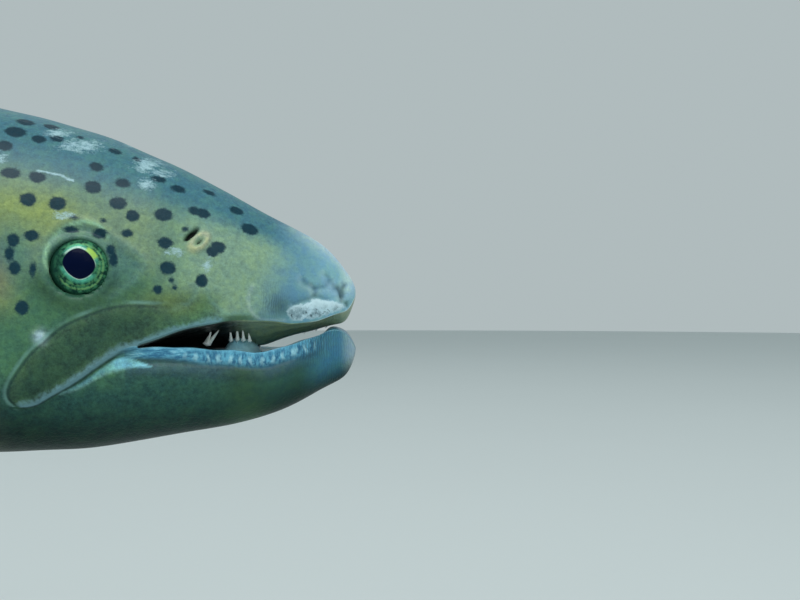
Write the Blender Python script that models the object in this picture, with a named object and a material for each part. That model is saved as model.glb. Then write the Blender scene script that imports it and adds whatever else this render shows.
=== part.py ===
"""Rainbow trout, a large male, swimming with its mouth a little open, on a plain display stand.

Metres, +Z up, +X towards the snout, the fish's right side towards -Y. The origin is the centre of the
stand's underside. The shape is written in millimetres of fish: s runs back from the snout tip along the
body, y is out to the side and z is up from the body's axis. The tail half is bent sideways at the end.
"""

import math

import bmesh
import bpy
import numpy as np
from mathutils import Matrix, Vector

MM = 0.001

# Driving dimensions, in millimetres
SNOUT_X = 290.0  # snout tip ahead of the stand's centre
AXIS_HEIGHT = 185.0  # body axis above the floor
FLESH_END = 640.0  # where the tail flesh runs out between the fin rays
MOUTH_CORNER = 58.5  # where the two lips meet
THROAT = 95.0  # where the mouth's hollow ends
BEND_START = 390.0  # the tail sweeps aside behind this
BEND_ANGLE = 0.35  # radians turned by the end of the tail
TOTAL_LENGTH = 722.0
GAP = 0.35  # clearance between neighbouring pieces
SEAT_REACH = 8.0  # how far a plate's seat runs out of the skin
ARC_STEPS = 6  # facets of a section from a lip to the midline
HEAD_END = 165.0  # head from trunk, under the gill covers
TAIL_START = 470.0  # trunk from tail stalk

# Side view: (distance behind the snout, height) of each line
BACK = ((0, 1), (1, 4.4), (4, 8.8), (10.4, 15.6), (17, 19.4), (25, 23.5), (43, 33.4), (60, 41.6),
        (78, 48.6), (103, 55.1), (140, 63.3), (180, 70.8), (240, 79.3), (305, 83.5), (380, 78.5),
        (450, 65.5), (520, 48), (570, 36.5), (600, 32), (622, 32), (640, 34))
BELLY = ((0, -16.5), (1, -20.4), (2.3, -23), (4.6, -25.2), (10.4, -28.2), (22, -34.4), (34, -37.8),
         (45, -40), (57, -42), (68, -43.9), (86, -45.7), (103, -46.3), (140, -51), (180, -60.5),
         (240, -75), (305, -83), (370, -81.5), (430, -70), (490, -52), (540, -38.5), (580, -31),
         (600, -29), (622, -29), (640, -31))
UPPER_LIP = ((0, 1), (1, -1), (4.3, -3.8), (9, -5.6), (15.2, -6.8), (25, -7.1), (37.5, -7.6),
             (47, -9.9), (52, -11.7), (58.5, -14.4), (66, -16), (80, -16.2), (103, -13), (140, -8),
             (180, -4), (240, -1), (305, 0), (380, 0.5), (450, 1), (520, 1.5), (640, 1.5))
LOWER_LIP = ((0, -16.5), (1, -13.8), (2.6, -11.4), (4.6, -10.2), (7, -10), (10, -11.3), (15, -12.7),
             (20.6, -14.5), (25, -15.1), (34, -15.2), (41.4, -15), (52, -14.6), (58.5, -14.4))
PALATE = ((0, 1), (0.9, -2.3), (2.3, -5), (4.1, -6.7), (10.4, -7.6), (16, -9.3), (22, -11.3),
          (28, -12.6), (34, -12), (45, -8), (58.5, -4), (75, -5), (95, -15))
MOUTH_FLOOR = ((0, -16.5), (1.2, -13.2), (2.6, -10.6), (4.6, -8.8), (7, -8.2), (8.7, -9.2),
               (10, -11.4), (13, -15.5), (20, -20), (30, -22), (45, -23), (58.5, -23), (75, -21),
               (95, -15))
# Half the width, at the lip or the widest line
UPPER_WIDTH = ((0, 0), (1, 3.2), (4, 6.5), (10, 10.5), (20, 15), (30, 18.5), (45, 23), (58.5, 26.5),
               (72, 29.5), (90, 33), (110, 36.5), (140, 41), (165, 43.5), (190, 44.8), (240, 46.5),
               (305, 47), (380, 42), (450, 33), (520, 22), (570, 15), (600, 11.2), (622, 6),
               (640, 0))
LOWER_WIDTH = ((0, 0), (1, 3), (4, 6), (7, 7.6), (10, 9), (20, 13.2), (30, 16.8), (45, 22),
               (58.5, 26.5))
# How square a section is: 1 is an ellipse, less is squarer
SQUARE_ABOVE = ((0, 1), (20, 0.92), (60, 0.82), (110, 0.86), (180, 0.95), (305, 1), (640, 1))
SQUARE_BELOW = ((0, 0.95), (30, 0.85), (80, 0.85), (180, 0.92), (305, 0.95), (640, 1))

# The eyeball: its centre in the side view, its half sizes, how far it stands out of the skin and its turn
EYE = {"s": 73.8, "z": 8.6, "radius": 9.4, "depth": 5.6, "stands_out": 2.8,
       "turn": math.radians(12), "lift": math.radians(5)}

# Plates that lie on the head, each between two lines of the side view
MAXILLA = (((36, -3.6), (46, -2.6), (56, -2.8), (66, -3.6), (77, -7.5), (86, -12.6), (92.5, -20),
            (94, -26)),
           ((36, -7.8), (42, -9.6), (49, -12), (57, -14.6), (66, -17), (74, -21.6), (83, -27.6),
            (90, -30.5)))
GILL_COVER = (((133, 32), (122, 25), (116.5, 11), (115, -8), (120, -26), (131, -41)),
              ((147, 34), (162, 29), (175, 16), (181, -2), (172, -27), (147, -43)))
# Each plate's lines, how far it lifts out of the skin and lies in it, and where its lift fades in
PLATES = {"maxilla": (MAXILLA, 1.5, 2.2, 30), "gill_cover": (GILL_COVER, 1.6, 3.0, 40)}

TONGUE = {"start": 26.0, "end": 74.0, "half_width": 8.0, "height": 8.5}
# Rows of teeth: first and last place, number a side, height (down or up) and distance inside the lip
UPPER_TEETH = (12, 33, 8, -2.0, 2.6)
LOWER_TEETH = (15, 46, 9, 1.9, 2.4)

ROD_RADIUS = 4.0
ROD_PLACES = (220.0, 360.0)
ROD_SOCKET = 24.0
BASE_SIZE = (290.0, 124.0, 14.0)
BASE_CORNER = 18.0
BASE_RIM = 3.0

FLESH = (0.36, 0.42, 0.27)
MATERIALS = {
    "skin": (FLESH, 0.38, 0.0),
    "jaw_skin": ((0.16, 0.22, 0.18), 0.40, 0.0),
    "fin": ((0.34, 0.38, 0.27), 0.45, 0.0),
    "eye": ((0.10, 0.12, 0.05), 0.10, 0.0),
    "mouth_lining": ((0.42, 0.50, 0.52), 0.35, 0.0),
    "stand_wood": ((0.09, 0.06, 0.045), 0.45, 0.0),
    "stand_steel": ((0.55, 0.56, 0.57), 0.30, 1.0),
}


# ---- curves -------------------------------------------------------------------------------------
def through(knots):
    """A natural cubic spline through (distance, value) knots, run over the square root of distance.

    The root makes every line leave the snout tip steeply, so the tip is blunt and round.
    """
    x = np.sqrt([k[0] for k in knots])
    y = np.array([k[1] for k in knots], float)
    step = np.diff(x)
    rise = np.diff(y) / step
    system = np.eye(len(x))
    right = np.zeros(len(x))
    for i in range(1, len(x) - 1):
        system[i, i - 1:i + 2] = step[i - 1], 2 * (step[i - 1] + step[i]), step[i]
        right[i] = 6 * (rise[i] - rise[i - 1])
    bend = np.linalg.solve(system, right)

    def value(s):
        q = np.sqrt(np.clip(s, knots[0][0], knots[-1][0]))
        i = np.clip(np.searchsorted(x, q) - 1, 0, len(step) - 1)
        a, b, h = x[i + 1] - q, q - x[i], step[i]
        return ((bend[i] * a**3 + bend[i + 1] * b**3) / (6 * h)
                + (y[i] / h - bend[i] * h / 6) * a + (y[i + 1] / h - bend[i + 1] * h / 6) * b)

    return value


back, belly = through(BACK), through(BELLY)
middle, upper_width = through(UPPER_LIP), through(UPPER_WIDTH)
lower_front, lower_width_front = through(LOWER_LIP), through(LOWER_WIDTH)
palate, mouth_floor = through(PALATE), through(MOUTH_FLOOR)
square_above, square_below = through(SQUARE_ABOVE), through(SQUARE_BELOW)


def lower_lip(s):
    return np.where(s < MOUTH_CORNER, lower_front(s), middle(s))


def lower_width(s):
    return np.where(s < MOUTH_CORNER, lower_width_front(s), upper_width(s))


def half_width(s, z):
    """How far out the body's side is at a place of the side view, from the sections' formula."""
    lip, low = middle(s), lower_lip(s)
    above = z >= lip
    into_gap = np.clip((lip - z) / np.maximum(lip - low, 1e-6), 0, 1)
    width = upper_width(s) + (lower_width(s) - upper_width(s)) * into_gap
    reach = np.where(above, back(s) - lip, low - belly(s))
    power = np.where(above, square_above(s), square_below(s))
    cosine = np.clip(np.where(above, z - lip, low - z) / np.maximum(reach, 1e-6), 0, 1) ** (1 / power)
    return width * (1 - cosine**2) ** (power / 2)


def smooth_step(t):
    return t * t * (3 - 2 * t)


# ---- points to objects --------------------------------------------------------------------------
def to_world(points):
    """Fish millimetres (s, y, z) to metres, with the tail bent along an arc of constant curvature."""
    p = np.asarray(points, float)
    s, y, z = p[..., 0], p[..., 1], p[..., 2]
    curvature = BEND_ANGLE / (TOTAL_LENGTH - BEND_START)
    turned = curvature * np.clip(s - BEND_START, 0, None)
    x_out = np.minimum(s, BEND_START) + np.sin(turned) / curvature - y * np.sin(turned)
    y_out = (1 - np.cos(turned)) / curvature + y * np.cos(turned)
    return np.stack([SNOUT_X - x_out, y_out, AXIS_HEIGHT + z], -1) * MM


def new_object(name, bm):
    """Turns a bmesh into an object, welded and facing outwards."""
    bmesh.ops.remove_doubles(bm, verts=bm.verts, dist=1e-4)
    bmesh.ops.dissolve_degenerate(bm, edges=bm.edges, dist=1e-4)
    bmesh.ops.recalc_face_normals(bm, faces=bm.faces)
    mesh = bpy.data.meshes.new(name)
    bm.to_mesh(mesh)
    bm.free()
    return bpy.data.objects.new(name, mesh)


def add_grid(bm, points):
    """Adds a grid of points, rows by columns, as triangles split along the same diagonal everywhere."""
    rows, columns = points.shape[:2]
    verts = [[bm.verts.new(p) for p in row] for row in points]
    for i in range(rows - 1):
        for j in range(columns - 1):
            a, b, c, d = verts[i][j], verts[i][j + 1], verts[i + 1][j + 1], verts[i + 1][j]
            bm.faces.new((a, b, c))
            bm.faces.new((a, c, d))


def boolean(target, other, operation):
    modifier = target.modifiers.new(operation.lower() + "_" + other.name, "BOOLEAN")
    modifier.operation = operation
    modifier.object = other
    modifier.solver = "EXACT"


def finish(source, name, material, in_fish=True):
    """Applies the object's modifiers, places it in the world and links it as the named part."""
    graph = bpy.context.evaluated_depsgraph_get()
    mesh = bpy.data.meshes.new_from_object(source.evaluated_get(graph))
    mesh.transform(source.matrix_world)
    if in_fish:
        points = np.empty(len(mesh.vertices) * 3)
        mesh.vertices.foreach_get("co", points)
        mesh.vertices.foreach_set("co", to_world(points.reshape(-1, 3)).ravel())
        mesh.flip_normals()  # s runs against X, which mirrors the mesh
    mesh.materials.clear()
    mesh.materials.append(material)
    mesh.shade_smooth()
    mesh.set_sharp_from_angle(angle=math.radians(40))
    part = bpy.data.objects.new(name, mesh)
    parts.objects.link(part)


def helper(found):
    """Puts an object among the cutters, hidden from the render."""
    cutters.objects.link(found)
    found.hide_render = True
    found.display_type = "WIRE"
    return found


# ---- the whole body -----------------------------------------------------------------------------
def stations():
    """Distances of the sections: close together on the snout and jaws, wide apart on the trunk."""
    snout = np.linspace(0, math.sqrt(28), 9) ** 2
    jaws = np.linspace(28, MOUTH_CORNER, 6)[1:]
    throat = np.linspace(MOUTH_CORNER, THROAT, 5)[1:]
    face = np.linspace(THROAT, HEAD_END, 7)[1:]
    trunk = np.linspace(HEAD_END, 600, 17)[1:]
    return np.concatenate([snout, jaws, throat, face, trunk, [613, 625, FLESH_END]])


def side_arc(s, lip_z, end_z, width, power, count):
    """Section from the right lip over the midline to the left lip: a superellipse half."""
    t = np.linspace(-math.pi / 2, math.pi / 2, 2 * count + 1)
    y = width[:, None] * np.sign(t) * np.abs(np.sin(t)) ** power[:, None]
    z = lip_z[:, None] + (end_z - lip_z)[:, None] * np.clip(np.cos(t), 0, 1) ** power[:, None]
    return np.stack([np.broadcast_to(s[:, None], y.shape), y, z], -1)


def mouth_sheet(s, edge_z, edge_width, middle_z, count):
    """Roof or floor of the mouth: level at the lip, then a smooth step to the midline's height."""
    across = np.linspace(-1, 1, 2 * count + 1)
    share = smooth_step(1 - np.abs(across))
    y = edge_width[:, None] * across
    z = edge_z[:, None] + (middle_z - edge_z)[:, None] * share
    z[-1] = edge_z[-1]
    return np.stack([np.broadcast_to(s[:, None], y.shape), y, z], -1)


def cavity_width(s, width):
    """Half the mouth's width: the lips' own in front of the corner, then closing to the throat."""
    behind = np.clip((s - MOUTH_CORNER) / (THROAT - MOUTH_CORNER), 0, 1)
    return np.where(s <= MOUTH_CORNER, width, upper_width(MOUTH_CORNER) * np.sqrt(1 - behind))


def body_arcs(s, grow=0.0):
    """The sections of the body above and below the lips, larger by grow all round."""
    above = side_arc(s, middle(s), back(s) + grow, upper_width(s) + grow, square_above(s), ARC_STEPS)
    below = side_arc(s, lower_lip(s), belly(s) - grow, lower_width(s) + grow, square_below(s), ARC_STEPS)
    return above, below


def whole_body(name):
    """Head, trunk and tail stalk as one closed skin with the mouth's hollow in it."""
    bm = bmesh.new()
    s = stations()
    for arcs in body_arcs(s):
        add_grid(bm, arcs)
    m = s[s <= THROAT + 1e-6]
    add_grid(bm, mouth_sheet(m, middle(m), cavity_width(m, upper_width(m)), palate(m), 3))
    add_grid(bm, mouth_sheet(m, lower_lip(m), cavity_width(m, lower_width(m)), mouth_floor(m), 3))
    return helper(new_object(name, bm))


def grown_body(name, grow):
    """The body behind the head, larger by grow all round, for cutting the fins' feet to it."""
    s = stations()
    above, below = body_arcs(s[s >= HEAD_END], grow)
    above[-1, :, 0] += 2 * grow
    below[-1, :, 0] += 2 * grow
    bm = bmesh.new()
    for grid in (above, below, np.stack([above[0], below[0]]), np.stack([above[-1], below[-1]])):
        add_grid(bm, grid)
    return helper(new_object(name, bm))


def prism(name, outline, low_y, high_y):
    """A side-view outline of (s, z) points, extruded across the fish."""
    bm = bmesh.new()
    sides = [[bm.verts.new((s, y, z)) for s, z in outline] for y in (low_y, high_y)]
    for side in sides:
        bm.faces.new(side)
    for i in range(len(outline)):
        k = (i + 1) % len(outline)
        bm.faces.new((sides[0][i], sides[0][k], sides[1][k], sides[1][i]))
    return helper(new_object(name, bm))


def slab(name, start, end):
    return prism(name, ((start, -200), (end, -200), (end, 200), (start, 200)), -150, 150)


def jaw_outline(gap):
    """Side-view line that parts the lower jaw: through the mouth, then down behind the jaw joint."""
    return ((-20, -7.6 - gap), (4, -7.6 - gap), (12, -9.6 - gap), (20, -12.6 - gap), (30, -13.6 - gap),
            (MOUTH_CORNER, -14.4 - gap), (76, -19 - gap), (96 - gap, -30), (100 - gap, -60), (-20, -60))


# ---- plates on the head -------------------------------------------------------------------------
def line(points, share):
    """Places along a smooth open line through the points (Catmull-Rom), share 0 to 1."""
    p = np.array(points, float)
    p = np.vstack([2 * p[0] - p[1], p, 2 * p[-1] - p[-2]])
    t = np.clip(np.asarray(share, float), 0, 1) * (len(p) - 3)
    i = np.minimum(np.floor(t).astype(int), len(p) - 4)
    f = (t - i)[:, None]
    a, b, c, d = (p[i + k] for k in range(4))
    return 0.5 * (2 * b + (c - a) * f + (2 * a - 5 * b + 4 * c - d) * f**2 + (3 * b - a - 3 * c + d) * f**3)


def closed_sheets(bm, near, far):
    """Two grids of equal size joined along their four borders."""
    add_grid(bm, near)
    add_grid(bm, far)
    for a, b in ((near, far), (near.swapaxes(0, 1), far.swapaxes(0, 1))):
        add_grid(bm, np.stack([a[0], b[0]]))
        add_grid(bm, np.stack([a[-1], b[-1]]))


def plate(name, lines, lift, depth, front_fade, side, grow=0.0, rows=11, columns=5):
    """A plate lying in the head's side, between its two lines: lift out of the skin and depth in it.

    The lift fades in over front_fade millimetres from the front end, where the plate joins the head. With
    grow it is the plate's seat instead: larger all round and open to the outside.
    """
    u, v = np.linspace(0, 1, rows), np.linspace(0, 1, columns)[None, :, None]
    start, end = line(lines[0], u), line(lines[1], u)
    across = (start - end) / np.linalg.norm(start - end, axis=1)[:, None]
    along = np.gradient(start + end, axis=0)
    along /= np.linalg.norm(along, axis=1)[:, None]
    past = np.zeros((rows, 1))
    past[0], past[-1] = -grow, grow
    start, end = start + across * grow + along * past, end - across * grow + along * past
    place = start[:, None] + (end - start)[:, None] * v
    s, z = place[..., 0], place[..., 1]
    fade = smooth_step(np.clip((s - s.min()) / front_fade, 0, 1))
    edge = 0.25 + 0.75 * np.sqrt(1 - np.abs(2 * v[..., 0] - 1) ** 4)
    skin = half_width(s, z)
    bm = bmesh.new()
    outer = np.stack([s, side * (skin + lift * fade * edge + (SEAT_REACH if grow else 0)), z], -1)
    inner = np.stack([s, side * (skin - depth - grow), z], -1)
    closed_sheets(bm, outer, inner)
    return helper(new_object(name, bm))


# ---- fins ---------------------------------------------------------------------------------------
def fin_solid(name, root, margin, root_half, edge_half, rays, steps):
    """A thin blade between a root line and a margin line, thick at the root, thin at the margin."""
    u, v = np.linspace(0, 1, rays), np.linspace(0, 1, steps)
    start, end = line(root, u), line(margin, u)
    grid = start[:, None] + (end - start)[:, None] * v[None, :, None]
    half = (root_half + (edge_half - root_half) * v)[None, :, None] * np.ones((rays, 1, 1))
    half[[0, -1]] = edge_half
    across = np.cross(np.gradient(grid, axis=0), np.gradient(grid, axis=1))
    across /= np.linalg.norm(across, axis=-1, keepdims=True)
    bm = bmesh.new()
    near, far = grid + across * half, grid - across * half
    closed_sheets(bm, near, far)
    return helper(new_object(name, bm))


def midline(height, low, high, offset):
    """Five points along the back's or the belly's line, moved up by offset: a fin's root."""
    s = np.linspace(low, high, 5)
    return [(a, 0.0, b) for a, b in zip(s, height(s) + offset)]


def pectoral_lines(side):
    """Root and margin of a breast fin, spread out, back and down from behind the gill cover."""
    root = [(184, side * 36, -33), (189, side * 31, -43), (194, side * 24, -51)]
    margin = [(262, side * 82, -62), (270, side * 77, -72), (264, side * 66, -80), (244, side * 49, -80),
              (217, side * 33, -67)]
    return root, margin


def pelvic_lines(side):
    """Root and margin of a belly fin, spread out and down under the back fin."""
    root = [(334, side * 22, -70), (343, side * 17, -74), (352, side * 12, -77)]
    margin = [(372, side * 50, -107), (386, side * 43, -113), (389, side * 33, -112), (382, side * 22, -104),
              (371, side * 15, -92)]
    return root, margin


def make_fins(skin):
    """Fins stop short of the body: each is cut by a body grown by the gap."""
    dorsal_margin = [(337, 0, 144), (345, 0, 147.5), (358, 0, 142), (378, 0, 127), (398, 0, 109),
                     (407, 0, 98)]
    anal_margin = [(495, 0, -112), (504, 0, -116), (516, 0, -108), (532, 0, -88), (548, 0, -66),
                   (553, 0, -56)]
    adipose_margin = [(532, 0, 66), (540, 0, 71), (547, 0, 67), (544, 0, 58), (534, 0, 48)]
    tail_root = [(612, 0, 31), (626, 0, 17), (631, 0, 1), (626, 0, -15), (612, 0, -28)]
    fork = [(711, 0, 83), (TOTAL_LENGTH, 0, 77), (716, 0, 54), (704, 0, 26), (699, 0, 1), (703, 0, -24),
            (714, 0, -51), (719, 0, -73), (708, 0, -79)]
    blades = {
        "dorsal_fin": fin_solid("dorsal", midline(back, 303, 384, -3), dorsal_margin, 2.4, 0.35, 12, 6),
        "anal_fin": fin_solid("anal", midline(belly, 464, 528, 3), anal_margin, 2.2, 0.35, 10, 6),
        "adipose_fin": fin_solid("adipose", midline(back, 508, 524, -3), adipose_margin, 2.2, 0.8, 7, 5),
        "caudal_fin": fin_solid("caudal", tail_root, fork, 2.2, 0.35, 14, 6),
    }
    for side, word in ((-1, "right"), (1, "left")):
        root, margin = pectoral_lines(side)
        blades["pectoral_fin_" + word] = fin_solid("pectoral_" + word, root, margin, 1.7, 0.35, 9, 6)
        root, margin = pelvic_lines(side)
        blades["pelvic_fin_" + word] = fin_solid("pelvic_" + word, root, margin, 1.7, 0.35, 8, 5)
    for name, blade in blades.items():
        boolean(blade, skin, "DIFFERENCE")
        finish(blade, name, materials["fin"])


# ---- eyes, tongue, teeth ------------------------------------------------------------------------
def eye_solid(name, side, grow=0.0):
    """A flattened ball set in the head, turned a little forwards and up."""
    bm = bmesh.new()
    bmesh.ops.create_uvsphere(bm, u_segments=14, v_segments=8, radius=1.0)
    size = (EYE["radius"] + grow, EYE["depth"] + grow, EYE["radius"] + grow)
    turn = Matrix.Rotation(side * EYE["turn"], 4, "Z") @ Matrix.Rotation(side * EYE["lift"], 4, "X")
    surface = float(half_width(np.array(EYE["s"]), np.array(EYE["z"])))
    centre = Vector((EYE["s"], side * (surface + EYE["stands_out"] - EYE["depth"]), EYE["z"]))
    poles = Matrix.Rotation(math.pi / 2, 4, "X")
    bm.transform(Matrix.Translation(centre) @ turn @ Matrix.Diagonal((*size, 1)) @ poles)
    return helper(new_object(name, bm))


def tooth(bm, foot, tip, radius):
    """One tooth: a five-sided cone from foot to tip."""
    along = Vector(tip) - Vector(foot)
    turn = along.to_track_quat("Z", "Y").to_matrix().to_4x4()
    place = Matrix.Translation((Vector(foot) + Vector(tip)) / 2) @ turn
    bmesh.ops.create_cone(bm, cap_ends=True, segments=5, radius1=radius, radius2=0.12,
                          depth=along.length, matrix=place)


def jaw_teeth(name, line_z, line_width, first, last, count, height, inset):
    """A row of small teeth just inside each lip, leaning in; height is signed, up or down."""
    bm = bmesh.new()
    for side in (-1, 1):
        for s in np.linspace(first, last, count):
            z, y = float(line_z(s)), side * (float(line_width(s)) - inset)
            foot = (s, y, z - math.copysign(0.9, height))
            tooth(bm, foot, (s + 0.7, y - side * 0.6, z + height), 0.75)
    return helper(new_object(name, bm))


def tongue_solid():
    """A pad on the mouth's floor with two rows of hooked teeth near its tip."""
    s = TONGUE["start"] + (TONGUE["end"] - TONGUE["start"]) * smooth_step(np.linspace(0, 1, 9))
    share = (s - TONGUE["start"]) / (TONGUE["end"] - TONGUE["start"])
    plan = TONGUE["half_width"] * np.clip(1 - (1 - np.minimum(share * 3, 1)) ** 2, 0, 1) ** 0.5
    plan *= 1 - 0.6 * share**2
    plan[-1] = plan[-2] * 0.5
    plan[0] = 1.0
    across = np.linspace(-1, 1, 7)
    y = plan[:, None] * across
    lip, floor, width = lower_lip(s), mouth_floor(s), cavity_width(s, lower_width(s))
    rise = smooth_step(np.clip(1 - np.abs(y) / np.maximum(width[:, None], 1e-6), 0, 1))
    low = lip[:, None] + (floor - lip)[:, None] * rise + GAP + 0.25
    crown = np.clip(1 - across**2, 0, 1) ** 0.6 * np.clip(share * 5 + 0.25, 0, 1)[:, None] ** 0.7
    room = palate(s) + 1.5 * np.clip((s - 30) / 20, 0, 1) - low.min(1) - 2.2
    top = low + 0.3 + np.minimum(TONGUE["height"], np.maximum(room, 1.0))[:, None] * crown
    place = np.broadcast_to(s[:, None], y.shape)
    bm = bmesh.new()
    closed_sheets(bm, np.stack([place, y, top], -1), np.stack([place, y, low], -1))
    pad = helper(new_object("tongue_pad", bm))
    bm = bmesh.new()
    for side in (-1, 1):
        for k, s_tooth in enumerate((30.5, 34.0, 37.5)):
            level = float(np.interp(s_tooth, s, top[:, 3]))
            tip = (s_tooth + 1.6, side * 2.0, level + 1.9 - 0.2 * k)
            tooth(bm, (s_tooth, side * 2.6, level - 1.6), tip, 0.8)
    boolean(pad, helper(new_object("tongue_teeth", bm)), "UNION")
    return pad


# ---- parts --------------------------------------------------------------------------------------
def make_head_and_trunk(whole):
    """Parts the whole body with thin cuts and carves the seats of plates, eyes and rods from it."""
    flesh = materials["skin"]
    face_seats, gill_seats = [], []
    seats = {"maxilla": face_seats, "gill_cover": gill_seats}
    for side, word in ((-1, "right"), (1, "left")):
        for name, shape in PLATES.items():
            seats[name].append(plate(name + "_seat_" + word, *shape, side, grow=GAP))
            finish(plate(name + "_solid_" + word, *shape, side), name + "_" + word, flesh)
        face_seats.append(eye_solid("eye_seat_" + word, side, GAP))
        finish(eye_solid("eye_solid_" + word, side), "eye_" + word, materials["eye"])
    base_top = BASE_SIZE[2] - AXIS_HEIGHT
    holes = [upright("rod_hole", s, ROD_RADIUS + GAP, base_top, ROD_SOCKET + GAP) for s in ROD_PLACES]
    jaw_cutter = prism("jaw_cutter", jaw_outline(GAP / 2), -80, 80)
    jaw_gap = prism("jaw_gap", jaw_outline(-GAP / 2), -80, 80)

    def piece(name, material, keep, remove, add=()):
        source = helper(bpy.data.objects.new(name + "_source", whole.data.copy()))
        for cutter in keep:
            boolean(source, cutter, "INTERSECT")
        for cutter in remove:
            boolean(source, cutter, "DIFFERENCE")
        for extra in add:
            boolean(source, extra, "UNION")
        finish(source, name, material)

    upper_teeth = jaw_teeth("upper_teeth", middle, upper_width, *UPPER_TEETH)
    lower_teeth = jaw_teeth("lower_teeth", lower_lip, lower_width, *LOWER_TEETH)
    head_slab = slab("head_slab", -20, HEAD_END - GAP / 2)
    trunk_slab = slab("trunk_slab", HEAD_END + GAP / 2, TAIL_START - GAP / 2)
    piece("head", flesh, [head_slab], [*gill_seats, jaw_gap, *face_seats], [upper_teeth])
    piece("lower_jaw", materials["jaw_skin"], [jaw_cutter], face_seats, [lower_teeth])
    piece("trunk", flesh, [trunk_slab], [*gill_seats, *holes])
    piece("tail_stalk", flesh, [slab("tail_slab", TAIL_START + GAP / 2, 700)], [])
    finish(tongue_solid(), "tongue", materials["mouth_lining"])


def upright(name, s, radius, bottom, socket):
    """A round bar from a height below the fish up into the belly, socket deep."""
    top = float(belly(np.array(s))) + socket
    bm = bmesh.new()
    bmesh.ops.create_cone(bm, cap_ends=True, segments=20, radius1=radius, radius2=radius,
                          depth=top - bottom, matrix=Matrix.Translation((s, 0, (top + bottom) / 2)))
    return helper(new_object(name, bm))


def make_stand():
    """A rounded board and two upright rods."""
    foot = BASE_SIZE[2] + GAP - AXIS_HEIGHT
    for s, word in zip(ROD_PLACES, ("front", "rear")):
        rod = upright("rod", s, ROD_RADIUS, foot, ROD_SOCKET)
        finish(rod, "stand_rod_" + word, materials["stand_steel"])
    length, width, height = (side * MM for side in BASE_SIZE)
    bm = bmesh.new()
    bmesh.ops.create_cube(bm, size=1.0)
    bm.transform(Matrix.Translation((0, 0, height / 2)) @ Matrix.Diagonal((length, width, height, 1)))
    corners = [e for e in bm.edges if abs(e.verts[0].co.z - e.verts[1].co.z) > height / 2]
    bmesh.ops.bevel(bm, geom=corners, offset=BASE_CORNER * MM, segments=5, profile=0.5, affect="EDGES")
    rim = [e for e in bm.edges if min(v.co.z for v in e.verts) > height * 0.99
           and abs(e.calc_face_angle()) > 0.5]
    bmesh.ops.bevel(bm, geom=rim, offset=BASE_RIM * MM, segments=2, profile=0.5, affect="EDGES")
    finish(helper(new_object("board", bm)), "stand_base", materials["stand_wood"], in_fish=False)


def make_material(name, colour, roughness, metallic):
    material = bpy.data.materials.new(name)
    material.use_nodes = True
    shader = material.node_tree.nodes["Principled BSDF"]
    shader.inputs["Base Color"].default_value = (*colour, 1)
    shader.inputs["Roughness"].default_value = roughness
    shader.inputs["Metallic"].default_value = metallic
    return material


for leftover in list(bpy.data.objects):
    bpy.data.objects.remove(leftover)
parts = bpy.data.collections.new("rainbow_trout")
cutters = bpy.data.collections.new("cutters")
bpy.context.scene.collection.children.link(parts)
bpy.context.scene.collection.children.link(cutters)
materials = {name: make_material(name, *look) for name, look in MATERIALS.items()}

make_head_and_trunk(whole_body("whole"))
make_fins(grown_body("grown", 1.5 * GAP))
make_stand()
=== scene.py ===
"""Rainbow trout, a large male with a hooked jaw: skin, scales, fins, eyes and mouth around the solids.

Shapes are written in millimetres of fish: s runs back from the snout tip along the body, y is out to the
side and z is up from the body's axis. The tail half is bent sideways at the end, as the solids are.
"""

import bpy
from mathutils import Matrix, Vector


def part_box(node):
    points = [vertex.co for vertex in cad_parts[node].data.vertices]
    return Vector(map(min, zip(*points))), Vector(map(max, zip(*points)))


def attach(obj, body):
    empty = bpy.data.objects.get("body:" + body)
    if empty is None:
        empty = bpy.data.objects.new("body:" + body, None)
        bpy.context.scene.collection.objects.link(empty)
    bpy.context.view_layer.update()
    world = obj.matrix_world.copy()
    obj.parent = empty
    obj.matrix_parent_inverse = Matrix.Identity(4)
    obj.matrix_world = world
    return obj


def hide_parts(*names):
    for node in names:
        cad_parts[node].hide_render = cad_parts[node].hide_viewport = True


bl_info = {
    "name": "Rainbow trout",
    "version": (1, 0, 0),
    "blender": (4, 5, 0),
    "location": "3D View > Sidebar > Trout",
    "description": "Skin, scales, fins, eyes and mouth of a life-size rainbow trout on its display stand",
    "category": "Object",
}

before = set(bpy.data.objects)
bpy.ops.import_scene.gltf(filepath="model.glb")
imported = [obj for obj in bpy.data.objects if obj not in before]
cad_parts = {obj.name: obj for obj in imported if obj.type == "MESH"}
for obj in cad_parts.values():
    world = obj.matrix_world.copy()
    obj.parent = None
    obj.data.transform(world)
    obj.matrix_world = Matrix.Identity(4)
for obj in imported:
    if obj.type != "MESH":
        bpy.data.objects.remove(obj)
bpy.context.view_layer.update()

import math

import bpy
import numpy as np

MM = 0.001

# ---- driving dimensions, in millimetres, as in the solids ----------------------------------------
SNOUT_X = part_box("head")[1].x / MM
AXIS_HEIGHT = 185.0
FLESH_END = 640.0
MOUTH_CORNER = 58.5
THROAT = 95.0
BEND_START = 390.0
BEND_ANGLE = 0.35
TOTAL_LENGTH = 722.0
COAT_DEPTH = 0.35  # how far the scales stand out of the skin

# ---- the surfaces' own dimensions and counts -----------------------------------------------------
TIP_END = 9.0  # the skin's sections crowd towards the snout tip in front of this
FINE_END = 190.0  # the skin's grid is fine in front of this
SCALES_START, SCALES_END = 184.0, 628.0  # along the lateral line
SCALE_OUTLINE = 8  # points round a scale
SHEET_COLUMNS = 41  # points across the mouth's roof and floor
ROOF_POWER, FLOOR_POWER = 1.5, 0.8  # how narrow the roof's ridge and the floor's basin are
BEAD_LENGTH = 2.9  # from one bead of the gum to the next
IRIS_SPAN = 20.0  # width of the square that the eye's UV map covers
SPOT_GAP = 7.2  # least distance between two spots of the body
SPOT_REACH = 7.0  # distances to a spot are held at this

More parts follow.
